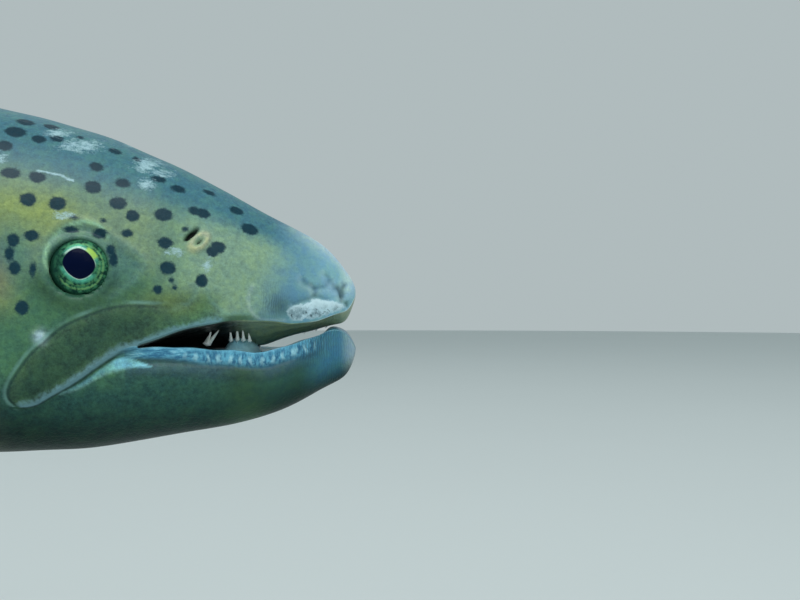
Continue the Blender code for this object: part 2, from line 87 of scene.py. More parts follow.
# The part of a side that its spots are drawn over: along the fish, and as a share from belly to back
SPOTTED_FROM, SPOTTED_LENGTH = 172, 452
SPOTTED_LOW, SPOTTED_HEIGHT = -0.62, 1.6

HAIR = 1e-6  # the least width or height that is divided by
TINY = 1e-12  # the least length that is divided by
FAR = 1e9  # further than anything is
WELD_GRID = 1000.0  # points are welded to the nearest thousandth

# Side view: (distance behind the snout, height) of each line
BACK = ((0, 1), (1, 4.4), (4, 8.8), (10.4, 15.6), (17, 19.4), (25, 23.5), (43, 33.4), (60, 41.6),
        (78, 48.6), (103, 55.1), (140, 63.3), (180, 70.8), (240, 79.3), (305, 83.5), (380, 78.5),
        (450, 65.5), (520, 48), (570, 36.5), (600, 32), (622, 32), (640, 34))
BELLY = ((0, -16.5), (1, -20.4), (2.3, -23), (4.6, -25.2), (10.4, -28.2), (22, -34.4), (34, -37.8),
         (45, -40), (57, -42), (68, -43.9), (86, -45.7), (103, -46.3), (140, -51), (180, -60.5),
         (240, -75), (305, -83), (370, -81.5), (430, -70), (490, -52), (540, -38.5), (580, -31),
         (600, -29), (622, -29), (640, -31))
UPPER_LIP = ((0, 1), (0.9, -2.1), (2.2, -4.3), (5.5, -5.5), (9.5, -7.1), (14, -8.1), (18.4, -8.2),
             (22.8, -7.8), (28, -7.4), (37.5, -8.1), (47, -10.3), (52, -12), (58.5, -14.4), (66, -16),
             (80, -16.2), (103, -13), (140, -8), (180, -4), (240, -1), (305, 0), (380, 0.5),
             (450, 1), (520, 1.5), (640, 1.5))
LOWER_LIP = ((0, -16.5), (1, -13.8), (2.6, -11.4), (4.6, -10.2), (7, -10), (10, -11.4), (15, -13.1),
             (20.6, -14.9), (24.5, -16), (29, -16.1), (34, -15.6), (41.4, -15), (52, -14.2), (58.5, -14.4))
PALATE = ((0, 1), (0.9, -3), (1.8, -5.4), (2.8, -7.2), (4.3, -8.3), (6, -8.7), (9.4, -9.5),
          (13.7, -10.7), (17.6, -11.5), (22.4, -13), (25, -14), (27.3, -14.8), (29.4, -15.1),
          (33, -15.4), (38, -15.8), (45, -15.9), (52, -15.2), (58.5, -14), (75, -12), (95, -15))
MOUTH_FLOOR = ((0, -16.5), (1.2, -13.5), (2.6, -11.2), (4.6, -9.8), (7, -9.3), (8.7, -10.2),
               (10, -12), (13, -15.5), (20, -20), (30, -22), (45, -23), (58.5, -23), (75, -21),
               (95, -15))
# Half the width, at the lip or the widest line
UPPER_WIDTH = ((0, 0), (1, 3.2), (4, 6.5), (10, 10.5), (20, 15), (30, 18.5), (45, 23), (58.5, 26.5),
               (72, 29.5), (90, 33), (110, 36.5), (140, 41), (165, 43.5), (190, 44.8), (240, 46.5),
               (305, 47), (380, 42), (450, 33), (520, 22), (570, 15), (600, 11.2), (622, 6),
               (640, 0))
LOWER_WIDTH = ((0, 0), (1, 3), (4, 6), (7, 7.6), (10, 9), (20, 13.2), (30, 16.8), (45, 22),
               (58.5, 26.5))
# How square a section is: 1 is an ellipse, less is squarer
SQUARE_ABOVE = ((0, 1), (20, 0.92), (60, 0.82), (110, 0.86), (180, 0.95), (305, 1), (640, 1))
SQUARE_BELOW = ((0, 0.95), (30, 0.85), (80, 0.85), (180, 0.92), (305, 0.95), (640, 1))

# The eyeball: centre in the side view, half sizes, how far it stands out, its turn and lift
EYE = {"s": 74.1, "z": 7.8, "radius": 8.9, "depth": 5.6, "stands_out": 2.0,
       "turn": math.radians(12), "lift": math.radians(5)}
# Where the skin closes round the eyeball
EYE_RIM = 7.6
LID = (6.8, 7.5)  # the two circles that the lid's edge runs between
LID_MIDDLE = (EYE["s"] + 0.1, EYE["z"] - 0.4)  # the middle of the opening between the lids

# Lines on the head, as (s, z) of the side view
MAXILLA = ((36, -4.4), (45, -3.2), (54, -3.1), (61, -2.9), (66, -3.6), (71, -5.4), (76, -7.6),
           (79.4, -9.9), (82.4, -12.8), (85.8, -16), (88.6, -19.8), (91.2, -24), (92, -27.2),
           (90.8, -29.4), (88.4, -30.4), (85.2, -29.8), (82, -28), (78.8, -26.2), (75.7, -24.4),
           (72.6, -22.3), (69.6, -20.1), (66.5, -17.9), (63.6, -16.1), (60.5, -14.9), (57, -13.8),
           (52.5, -12), (47.3, -10.2), (42, -8.8), (37, -8))
ORBIT = ((80.5, 0.6), (83.2, 5), (83.6, 10), (82, 15), (78.8, 18.8), (74.4, 20), (69.6, 18.4),
         (66, 15.4), (62, 12.8), (58.8, 10.6), (57.6, 8), (59.4, 4.6), (64, 0.8), (69, -1.6),
         (75, -2), (80.5, 0.6))
CHEEK_FOLD = ((54, -3.1), (49, -3.6), (45.5, -2.2), (43.5, 1), (43, 4))
MUZZLE_FOLD = ((42.4, 6.4), (41.2, 3.4), (40.2, 0), (38.7, -2.6), (35.4, -5.2))
LIP_RIDGE = ((42, -6.9), (37, -5.7), (33, -5.1), (29, -5.4), (26.3, -6.5))
CORNER_SKIN = ((55, -19.8), (57.5, -18.6), (59.7, -17.7), (62, -17.2), (64.4, -17.7), (68, -20.2),
               (72, -23.2), (76, -25.6), (79, -26.9), (74.5, -25.6), (70.2, -23.3), (66.5, -21.4),
               (60.6, -19.9))
HOOK_LINE = ((8.2, -10.6), (9.5, -12.6), (10.6, -15), (11, -17.8))
LIP_EDGE = (*MAXILLA[14:], (31, -7.4), (25, -7.6))
SNOUT_WRINKLES = (((14.6, 4.6), (13.9, 3.4), (12.6, 3), (11.4, 2), (10.2, 2.2), (8.6, 2.5), (7.6, 3.7)),
                  ((11.5, 2), (11.1, 1), (11.3, -0.2)),
                  ((8.2, 6), (7.3, 4.6), (6.5, 3.6), (5.9, 1.8)),
                  ((17, -2.4), (14.6, -1.5), (12.7, -1), (11.3, -0.2), (9.3, -0.8), (7.6, -1.5)))
SNOUT_FOLD = ((19.6, -7.3), (24.2, -7.4), (27.3, -6.3), (29.2, -3.6), (29.5, -0.6), (28.4, 2.4))
TIP_GROOVES = (((3, 3), (3.5, 1.6), (3.4, 0.2), (3.7, -1.8)), ((4.9, 2.2), (4.3, 1), (3.9, -0.3)),
               ((2.4, -2.4), (2.2, -3.1)))
WHITE_LIP = ((19.4, -4.6), (17.6, -3.3), (15.1, -2.6), (11.9, -1.2), (9.1, -1.1), (5.8, -1.8), (3.7, -2.5),
             (3.2, -3.9), (5.8, -5.1), (9.1, -6.3), (12.8, -7.2), (16.1, -7.6), (17.9, -6.9), (19, -5.5))
LID_RING = ((76, 1.4), (78.4, 2.7), (80.6, 5), (82, 7.6), (82.6, 10), (82, 13.2), (80.5, 15.7), (78.2, 18.1),
            (75.6, 19.4), (72.5, 20), (69.9, 19.2), (68, 17.5), (66.9, 15.6))
GILL_EDGE = ((136, 43), (150, 36.5), (164, 28.5), (175, 16), (180, 4), (181, -6), (177, -19),
             (168, -31), (152, -41), (134, -45.5), (118, -45))
PREOPERCLE = ((128, 36), (123, 27), (118.5, 14), (116, 0), (115.5, -12), (118, -24), (111, -33),
              (98, -36.5))
INTEROPERCLE = ((119, -22), (133, -27), (150, -31), (165, -32))
JAW_JOINT = ((95, -30.6), (101, -27), (105, -21), (107, -13))


# ---- curves --------------------------------------------------------------------------------------
def through(knots):
    """A natural cubic spline through (distance, value) knots, run over the square root of distance."""
    x = np.sqrt([k[0] for k in knots])
    y = np.array([k[1] for k in knots], float)
    step = np.diff(x)
    rise = np.diff(y) / step
    system = np.eye(len(x))
    right = np.zeros(len(x))
    for i in range(1, len(x) - 1):
        system[i, i - 1:i + 2] = step[i - 1], 2 * (step[i - 1] + step[i]), step[i]
        right[i] = 6 * (rise[i] - rise[i - 1])
    bend = np.linalg.solve(system, right)

    def value(s):
        q = np.sqrt(np.clip(s, knots[0][0], knots[-1][0]))
        i = np.clip(np.searchsorted(x, q) - 1, 0, len(step) - 1)
        a, b, h = x[i + 1] - q, q - x[i], step[i]
        return ((bend[i] * a**3 + bend[i + 1] * b**3) / (6 * h)
                + (y[i] / h - bend[i] * h / 6) * a + (y[i + 1] / h - bend[i + 1] * h / 6) * b)

    return value


back, belly = through(BACK), through(BELLY)
middle, upper_width = through(UPPER_LIP), through(UPPER_WIDTH)
lower_front, lower_width_front = through(LOWER_LIP), through(LOWER_WIDTH)
palate, mouth_floor = through(PALATE), through(MOUTH_FLOOR)
square_above, square_below = through(SQUARE_ABOVE), through(SQUARE_BELOW)


def lower_lip(s):
    """Height of the lower lip: its own line in front of the corner, the upper lip's behind it."""
    return np.where(s < MOUTH_CORNER, lower_front(s), middle(s))


def lower_width(s):
    """Half the lower jaw's width in front of the mouth's corner, and the body's behind it."""
    return np.where(s < MOUTH_CORNER, lower_width_front(s), upper_width(s))


def cavity_width(s, width):
    """Half the mouth's width: the lips' own in front of the corner, then closing to the throat."""
    behind = np.clip((s - MOUTH_CORNER) / (THROAT - MOUTH_CORNER), 0, 1)
    return np.where(s <= MOUTH_CORNER, width, upper_width(MOUTH_CORNER) * np.sqrt(1 - behind))


def half_width(s, z):
    """How far out the body's side is at a place of the side view, from the sections' formula."""
    lip, low = middle(s), lower_lip(s)
    above = z >= lip
    into_gap = np.clip((lip - z) / np.maximum(lip - low, HAIR), 0, 1)
    width = upper_width(s) + (lower_width(s) - upper_width(s)) * into_gap
    reach = np.where(above, back(s) - lip, low - belly(s))
    power = np.where(above, square_above(s), square_below(s))
    cosine = np.clip(np.where(above, z - lip, low - z) / np.maximum(reach, HAIR), 0, 1) ** (1 / power)
    return width * (1 - cosine**2) ** (power / 2)


def smooth_step(t):
    """An even rise from 0 to 1 that starts and ends level."""
    return t * t * (3 - 2 * t)


def ramp(value, low, high):
    """0 below low, 1 above high and smooth between; high may be the smaller of the two."""
    return smooth_step(np.clip((value - low) / (high - low), 0, 1))


def hill(value, centre, width):
    """A bell curve of height 1."""
    return np.exp(-(((value - centre) / width) ** 2))


def line(points, share):
    """Places along a smooth open line through the points (Catmull-Rom), share 0 to 1."""
    p = np.array(points, float)
    p = np.vstack([2 * p[0] - p[1], p, 2 * p[-1] - p[-2]])
    t = np.clip(np.asarray(share, float), 0, 1) * (len(p) - 3)
    i = np.minimum(np.floor(t).astype(int), len(p) - 4)
    f = (t - i)[:, None]
    a, b, c, d = (p[i + k] for k in range(4))
    return 0.5 * (2 * b + (c - a) * f + (2 * a - 5 * b + 4 * c - d) * f**2 + (3 * b - a - 3 * c + d) * f**3)


def runs(path, s, z):
    """Each straight run of a path: its start, its end and how far the places are from it."""
    for start, end in zip(path[:-1], path[1:]):
        run = end - start
        ds, dz = s - start[0], z - start[1]
        share = np.clip((ds * run[0] + dz * run[1]) / max(run @ run, TINY), 0, 1)
        yield start, end, np.hypot(ds - share * run[0], dz - share * run[1])


def distance_to(points, s, z):
    """(distance, signed distance) in the side view to a smooth line through the points.

    The sign is positive on the left of the line's direction, with s to the right and z up.
    """
    path = line(points, np.linspace(0, 1, 6 * (len(points) - 1) + 1))
    best = signed = np.full(s.shape, FAR)
    for start, end, gap in runs(path, s, z):
        run = end - start
        nearer = gap < best
        best = np.where(nearer, gap, best)
        left = np.sign(run[0] * (z - start[1]) - run[1] * (s - start[0]))
        signed = np.where(nearer, gap * left, signed)
    return best, signed


def trace(points, s, z, width):
    """1 on a smooth line through the points and falling off beside it over the width."""
    return hill(distance_to(points, s, z)[0], 0, width)


def inside_of(outline, s, z):
    """Signed distance to a closed smooth outline in the side view, positive inside."""
    path = line((*outline, outline[0]), np.linspace(0, 1, 4 * len(outline) + 1))
    best = np.full(s.shape, FAR)
    crossings = np.zeros(s.shape, int)
    for start, end, gap in runs(path, s, z):
        best = np.minimum(best, gap)
        run = end - start
        level = (start[1] > z) != (end[1] > z)
        slope = run[0] / (run[1] or TINY)
        crossings += level & (s < start[0] + (z - start[1]) * slope)
    return np.where(crossings % 2 == 1, best, -best)


# ---- meshes --------------------------------------------------------------------------------------
def to_world(points):
    """Fish millimetres (s, y, z) to metres, with the tail bent along an arc of constant curvature."""
    s, y, z = np.moveaxis(np.asarray(points, float), -1, 0)
    curvature = BEND_ANGLE / (TOTAL_LENGTH - BEND_START)
    angle = curvature * np.clip(s - BEND_START, 0, None)
    x_out = np.minimum(s, BEND_START) + np.sin(angle) / curvature - y * np.sin(angle)
    y_out = (1 - np.cos(angle)) / curvature + y * np.cos(angle)
    return np.stack([SNOUT_X - x_out, y_out, AXIS_HEIGHT + z], -1) * MM


def world_x(s):
    """Where a distance behind the snout lies along the body in metres, in front of the bend."""
    return (SNOUT_X - s) * MM


def world_z(z):
    """Where a height of the side view lies above the floor, in metres."""
    return (AXIS_HEIGHT + z) * MM


def grid_faces(rows, columns, up=True):
    """Triangles of a grid numbered row by row; they face up where rows run back and columns run left."""
    i, j = np.meshgrid(np.arange(rows - 1), np.arange(columns - 1), indexing="ij")
    a = (i * columns + j).ravel()
    b, c, d = a + 1, a + columns + 1, a + columns
    faces = np.concatenate([np.stack([a, b, c], 1), np.stack([a, c, d], 1)])
    return faces if up else faces[:, ::-1]


def round_grid(reach, rings, spokes):
    """The two parameters of a round grid: from 0 to reach over its rings, and a full turn over its spokes."""
    return np.meshgrid(np.linspace(0, reach, rings), np.linspace(0, 2 * math.pi, spokes), indexing="ij")


def row_points(s, y, z):
    """A grid of points in which each row lies at one distance behind the snout."""
    return np.stack([np.broadcast_to(s[:, None], y.shape), y, z], -1)


def stitch_faces(fine, coarse, up=True):
    """Triangles between a row of 2n+1 points and the next row of n+1 points, given their numbers."""
    a, b, c = fine[:-1:2], fine[1::2], fine[2::2]
    d, e = coarse[:-1], coarse[1:]
    faces = np.concatenate([np.stack([a, b, d], 1), np.stack([b, e, d], 1), np.stack([b, c, e], 1)])
    return faces if up else faces[:, ::-1]


def joined(patches):
    """One array of points and one of faces from (points, faces) patches."""
    points = [p.reshape(-1, 3) for p, _ in patches]
    starts = np.cumsum([0] + [len(p) for p in points[:-1]])
    faces = [f + start for (_, f), start in zip(patches, starts)]
    return np.concatenate(points), np.concatenate(faces)


def welded(points, faces):
    """Joins points that share a place and drops faces that collapse. Also returns the points kept."""
    points = points.reshape(-1, 3)
    keys = np.round(points * WELD_GRID).astype(np.int64)
    _, first, index = np.unique(keys, axis=0, return_index=True, return_inverse=True)
    faces = index.reshape(-1)[faces]
    whole = (faces[:, 0] != faces[:, 1]) & (faces[:, 1] != faces[:, 2]) & (faces[:, 2] != faces[:, 0])
    return points[first], faces[whole], first


def outward(points, faces):
    """Unit normals at the points in fish millimetres, for faces wound for the world's mirrored axes."""
    a, b, c = (points[faces[:, k]] for k in range(3))
    normal = -np.cross(b - a, c - a)
    total = np.zeros_like(points)
    for k in range(3):
        np.add.at(total, faces[:, k], normal)
    return unit(total)


def unit(vectors):
    """Vectors along the last axis made of length 1."""
    return vectors / np.maximum(np.linalg.norm(vectors, axis=-1, keepdims=True), TINY)


def facing_out(points, faces):
    """The faces turned so that the closed mesh holds a positive volume."""
    a, b, c = (points[faces[:, k]] for k in range(3))
    return faces if np.sum(a * np.cross(b, c)) > 0 else faces[:, ::-1]


def eased(points, faces, weight, rounds):
    """Moves each point part of the way to the mean of its neighbours, weight 0 to 1, some rounds."""
    edges = np.concatenate([faces[:, [0, 1]], faces[:, [1, 2]], faces[:, [2, 0]]])
    edges = np.unique(np.sort(edges, axis=1), axis=0)
    count = np.bincount(edges.ravel(), minlength=len(points))[:, None]
    for _ in range(rounds):
        total = np.zeros_like(points)
        np.add.at(total, edges[:, 0], points[edges[:, 1]])
        np.add.at(total, edges[:, 1], points[edges[:, 0]])
        points = points + (total / count - points) * weight[:, None]
    return points


def new_piece(name, points, faces, material, slot, replaced=(), values=None, colours=None, uv=None):
    """Makes and seats a closed piece from fish millimetres and triangles, with attributes and UV maps."""
    points = to_world(points)
    faces = facing_out(points, faces)
    mesh = bpy.data.meshes.new(name)
    mesh.vertices.add(len(points))
    mesh.vertices.foreach_set("co", np.asarray(points, np.float32).ravel())
    mesh.loops.add(faces.size)
    mesh.loops.foreach_set("vertex_index", faces.astype(np.int32).ravel())
    mesh.polygons.add(len(faces))
    mesh.polygons.foreach_set("loop_start", np.arange(0, faces.size, 3, dtype=np.int32))
    mesh.update(calc_edges=True)
    for key, data in (values or {}).items():
        attribute = mesh.attributes.new(key, "FLOAT", "POINT")
        attribute.data.foreach_set("value", np.asarray(data, np.float32))
    for key, data in (colours or {}).items():
        attribute = mesh.attributes.new(key, "FLOAT_COLOR", "POINT")
        opaque = np.column_stack([data, np.ones(len(data))])
        attribute.data.foreach_set("color", opaque.astype(np.float32).ravel())
    for key, data in (uv or {}).items():
        layer = mesh.uv_layers.new(name=key)
        layer.uv.foreach_set("vector", np.asarray(data, np.float32)[faces.ravel()].ravel())
    mesh.materials.append(material)
    mesh.shade_smooth()
    piece = bpy.data.objects.new(name, mesh)
    bpy.context.scene.collection.objects.link(piece)
    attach(piece, "root")
    if replaced:
        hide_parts(*replaced)
    return piece


# ---- shader expressions --------------------------------------------------------------------------
class Value:
    """A number socket. Operators on it add the Math nodes that work the expression out."""

    def __init__(self, finish, socket):
        self.finish = finish
        self.socket = socket

    def __add__(self, other):
        return self.finish.math("ADD", self, other)

    __radd__ = __add__

    def __sub__(self, other):
        return self.finish.math("SUBTRACT", self, other)

    def __rsub__(self, other):
        return self.finish.math("SUBTRACT", other, self)

    def __mul__(self, other):
        return self.finish.math("MULTIPLY", self, other)

    __rmul__ = __mul__

    def __truediv__(self, other):
        return self.finish.math("DIVIDE", self, other)

    def __pow__(self, other):
        return self.finish.math("POWER", self, other)

    def __abs__(self):
        return self.finish.math("ABSOLUTE", self)

    def between(self, low, high):
        """0 at low, 1 at high, smooth and clamped; high may be the smaller."""
        if low > high:
            return 1 - self.between(high, low)
        found = self.finish.node("ShaderNodeMapRange", {"interpolation_type": "SMOOTHSTEP"},
                                 {"Value": self, "From Min": low, "From Max": high})
        return found["Result"]


class Finish:
    """A material under construction: a Principled shader and the nodes that feed it."""

    def __init__(self, name, **constants):
        self.material = bpy.data.materials.new(name)
        self.material.use_nodes = True
        self.tree = self.material.node_tree
        self.shader = self.tree.nodes["Principled BSDF"]
        self.place = self.node("ShaderNodeTexCoord")["Object"]
        self.set(**constants)

    def node(self, kind, settings=None, inputs=None):
        """Adds a node: settings first, then the values or links of its sockets. Returns its outputs."""
        made = self.tree.nodes.new(kind)
        for key, value in (settings or {}).items():
            setattr(made, key, value)
        for key, value in (inputs or {}).items():
            self.feed(made.inputs[key], value)
        return Outputs(self, made)

    def feed(self, socket, value):
        """Links a socket to a value or another socket, or sets it to a number, a colour or a vector."""
        if isinstance(value, Value):
            self.tree.links.new(value.socket, socket)
        elif isinstance(value, bpy.types.NodeSocket):
            self.tree.links.new(value, socket)
        elif hasattr(value, "__len__") and len(socket.default_value) == 4 and len(value) == 3:
            socket.default_value = (*value, 1)
        else:
            socket.default_value = value

    def math(self, operation, *values):
        """A Math node on values or numbers."""
        return self.node("ShaderNodeMath", {"operation": operation}, dict(enumerate(values)))["Value"]

    def mix(self, factor, first, second, blend="MIX"):
        """Colours mixed by a factor."""
        settings = {"data_type": "RGBA", "blend_type": blend}
        return self.node("ShaderNodeMix", settings, {0: factor, 6: first, 7: second})[2]

    def over(self, tone, *layers):
        """A tone with each (mask, colour) mixed over it in turn."""
        for mask, colour in layers:
            tone = self.mix(mask, tone, colour)
        return tone

    def attribute(self, name, output="Fac"):
        """A number, or the named output, of one of the piece's point attributes."""
        return self.node("ShaderNodeAttribute", {"attribute_name": name})[output]

    def axes(self, vector):
        """The parts of a vector, by the names X, Y and Z."""
        return self.node("ShaderNodeSeparateXYZ", inputs={"Vector": vector})

    def noise(self, size, detail, roughness, stretch=None):
        """Noise from 0 to 1 whose lumps are about size metres across, drawn out by stretch if given."""
        place = self.place
        if stretch:
            place = self.node("ShaderNodeMapping", inputs={"Vector": place, "Scale": stretch})["Vector"]
        return self.node("ShaderNodeTexNoise", inputs={
            "Vector": place, "Scale": 1 / size, "Detail": detail, "Roughness": roughness})["Fac"]

    def cells(self, size):
        """Distance to the middle of the nearest of many cells about size metres across."""
        return self.node("ShaderNodeTexVoronoi", inputs={"Vector": self.place, "Scale": 1 / size})["Distance"]

    def set(self, **inputs):
        """Links or sets the shader's own sockets, named with underscores."""
        for key, value in inputs.items():
            self.feed(self.shader.inputs[key.replace("_", " ").title().replace("Ior", "IOR")], value)

    def bump(self, height, depth):
        """A height field in metres of depth feeds the normal."""
        found = self.node("ShaderNodeBump", inputs={"Height": height, "Distance": depth, "Strength": 1.0})
        self.set(Normal=found["Normal"])


class Outputs:
    """A node's outputs by name: number sockets come as values, others as they are."""

    def __init__(self, finish, made):
        self.finish = finish
        self.made = made

    def __getitem__(self, key):
        socket = self.made.outputs[key]
        return Value(self.finish, socket) if socket.type == "VALUE" else socket


# ---- markings ------------------------------------------------------------------------------------
def tint(red, green, blue):
    """A display colour, 0 to 255, as the linear values that a shader takes."""
    share = np.array([red, green, blue]) / 255
    return tuple(np.where(share <= 0.04045, share / 12.92, ((share + 0.055) / 1.055) ** 2.4))


# Black spots of the head's right side: place behind the snout, height, half length, half height
HEAD_SPOTS = (
    (95, 46, 3, 2.2), (94, 49.5, 2.6, 1.8), (87, 48.5, 2.3, 1.6), (96.5, 41.5, 2.1, 1.8),
    (88.5, 44, 2.0, 1.5), (84, 44.5, 2.0, 1.4), (78.5, 45.3, 1.1, 0.8), (93.5, 33.5, 2.7, 1.6),
    (86.5, 32.5, 2.2, 1.7), (72, 36, 2.0, 1.5), (72, 30, 2.2, 1.9), (64.5, 31.5, 2.2, 1.5),
    (68.5, 41.3, 2.0, 1.3), (62.5, 39.3, 1.4, 1), (88, 26, 2.2, 1.9), (80.5, 25, 2.2, 2),
    (65, 25.5, 2.4, 1.8), (61, 22, 1.8, 1.7), (55.5, 33, 2.3, 1.2), (50, 30.3, 2.4, 1.3),
    (42, 29.8, 2.3, 1.1), (53, 22.5, 2.5, 1.9), (42.6, 23.2, 2.0, 1.5), (45, 23.9, 1.7, 1.3),
    (34, 24.5, 2.3, 1.6), (30, 19, 2.7, 1.9), (38, 13.4, 2.2, 1.7), (39.4, 12.2, 1.7, 1.5),
    (52, 14.5, 2.1, 1.6), (47, 18.5, 0.8, 0.7), (51, 7.5, 2.2, 1.8), (42, 4, 1.6, 1.8),
    (53.5, 1.5, 1.3, 1.2), (49, 2, 0.7, 0.6), (50, 4, 0.7, 0.6), (62, 17, 1.6, 1.1),
    (68.5, 20.6, 0.8, 0.6), (69, 16.9, 2.1, 1.3), (76.5, 17.9, 2.1, 0.9), (76, 21.2, 1.4, 0.5),
    (66, 12.3, 1.1, 1.7), (65.2, 9.6, 1.1, 1.8), (88, -3.5, 1.8, 1.9), (86.2, 16, 2.0, 1.5),
    (90.8, 14.7, 1.5, 1.8), (91.6, 11, 1.2, 1.7), (90, 7.2, 1.5, 1.8), (85.5, 6.8, 0.8, 1.8),
    (103, 28, 2.4, 2.1), (101, 38, 2.3, 2), (106, 45, 2.2, 1.7), (112, 34, 2.3, 2),
    (104, 18, 2.2, 2.1), (99, 2, 1.7, 1.7), (113, 21, 2.2, 2.2), (110, 8, 1.9, 2), (120, 41, 2.4, 2),
    (121, 29, 2.4, 2.3), (116, 51, 2.2, 1.5), (127, 16, 2.3, 2.3), (124, 4, 2, 2.1),
    (131, 36, 2.4, 2.2), (135, 25, 2.3, 2.4), (138, 10, 2.4, 2.3), (129, 55, 2.4, 1.6),
    (147, 20, 2.3, 2.4), (143, 44, 2.4, 2.2), (152, 6, 2.2, 2.3), (141, -6, 1.8, 1.9),
    (158, 15, 2.2, 2.3), (165, 3, 1.9, 2), (128, -9, 1.7, 1.6))


def side_length(s):
    """About how long a quarter of the section is, from the lateral line to the back."""
    tall, wide = float(back(s) - middle(s)), float(upper_width(s))
    return 0.5 * math.pi * math.sqrt((tall**2 + wide**2) / 2)


def around(s, a):
    """The body's surface (s, y, z) on the left side: a is -1 at the belly, 0 at the side, 1 at the back."""
    t = (math.pi / 2) * (1 - np.abs(a))
    up = a >= 0
    power = np.where(up, square_above(s), square_below(s))
    lip = middle(s)
    end = np.where(up, back(s), belly(s))
    y = upper_width(s) * np.clip(np.sin(t), 0, 1) ** power
    z = lip + (end - lip) * np.clip(np.cos(t), 0, 1) ** power
    return np.stack([s + 0 * a, y, z], -1)


def body_spots(seed, size):
    """Round spots over the back and flanks of one side, thinning out below the lateral line.

    A seeded draw gives places (s, share round the side), kept where they are far enough from the others.
    """
    found = []
    for s, a, luck in np.random.default_rng(seed).random((5200, 3)):
        s, a = SPOTTED_FROM + SPOTTED_LENGTH * s, SPOTTED_LOW + SPOTTED_HEIGHT * a
        if luck > np.interp(a, [-0.5, -0.15, 0.15, 0.6, 1], [0, 0.3, 0.8, 1, 1]):
            continue
        girth = side_length(s)
        if all(math.hypot(s - q, (a - b) * girth) > SPOT_GAP for q, b in found):
            found.append((s, a))
    places = np.array(found)
    centres = around(places[:, 0], np.minimum(places[:, 1], 1))
    radius = np.random.default_rng(seed + 1).uniform(0.7, 1.15, len(places)) * size
    return np.column_stack([centres, radius, radius * 0.9])


def head_spots(jitter, seed):
    """The head's spots as centres and half sizes, moved a little for the other side of the fish."""
    spots = np.array(HEAD_SPOTS, float)
    spots[:, :2] += np.random.default_rng(seed).uniform(-1, 1, (len(spots), 2)) * jitter
    s, z = spots[:, 0], spots[:, 1]
    z = np.minimum(z, back(s) - 0.4)
    y = half_width(s, z)
    return np.column_stack([s, y, z, spots[:, 2:]])


def spot_field(points, spots):
    """Signed distance in mm to the nearest spot's edge, negative inside: an ellipse lying in the skin."""
    field = np.full(len(points), SPOT_REACH)
    out = np.abs(points[:, 1])
    for s, y, z, length, height in spots:
        near = np.abs(points[:, 0] - s) < SPOT_REACH + length
        ds = points[near, 0] - s
        across = np.hypot(out[near] - y, points[near, 2] - z)
        share = np.hypot(ds / length, across / height)
        field[near] = np.minimum(field[near], (share - 1) * min(length, height))
    return field


def both_sides(points, right, left):
    """The spot field with each side's own spots; y is negative on the right."""
    field = np.empty(len(points))
    is_right = points[:, 1] < 0
    field[is_right] = spot_field(points[is_right], right)
    field[~is_right] = spot_field(points[~is_right], left)
    return field


def layered(paint, layers):
    """Lays each (mask, colour) over the paint in turn; the paint is one colour or an array of them."""
    paint = np.array(paint)
    for mask, colour in layers:
        paint = paint + (np.array(colour) - paint) * np.clip(mask, 0, 1)[:, None]
    return paint


def body_colours(s, z, look):
    """The trout's colours behind and on the head: dark back, olive side, rose stripe, pale belly."""
    lip = middle(s)
    height = (z - lip) / np.maximum(np.where(z >= lip, back(s) - lip, lip - belly(s)), 0.01)
    stripe = hill(height, 0.06, 0.17) * ramp(s, 84, 128) * (1 - 0.35 * ramp(s, 480, 620))
    return layered(look.belly, (
        (ramp(height, -0.72, -0.25), look.silver),
        (ramp(height, -0.12, 0.32), look.flank),
        (ramp(height, 0.3, 0.72), look.back),
        (0.8 * stripe, look.stripe),
        (0.6 * ramp(s, 600, 634), look.fin_web),
        (0.22 * ramp(s, 98, 126) * ramp(height, 0.35, 0.8), look.dark_line)))


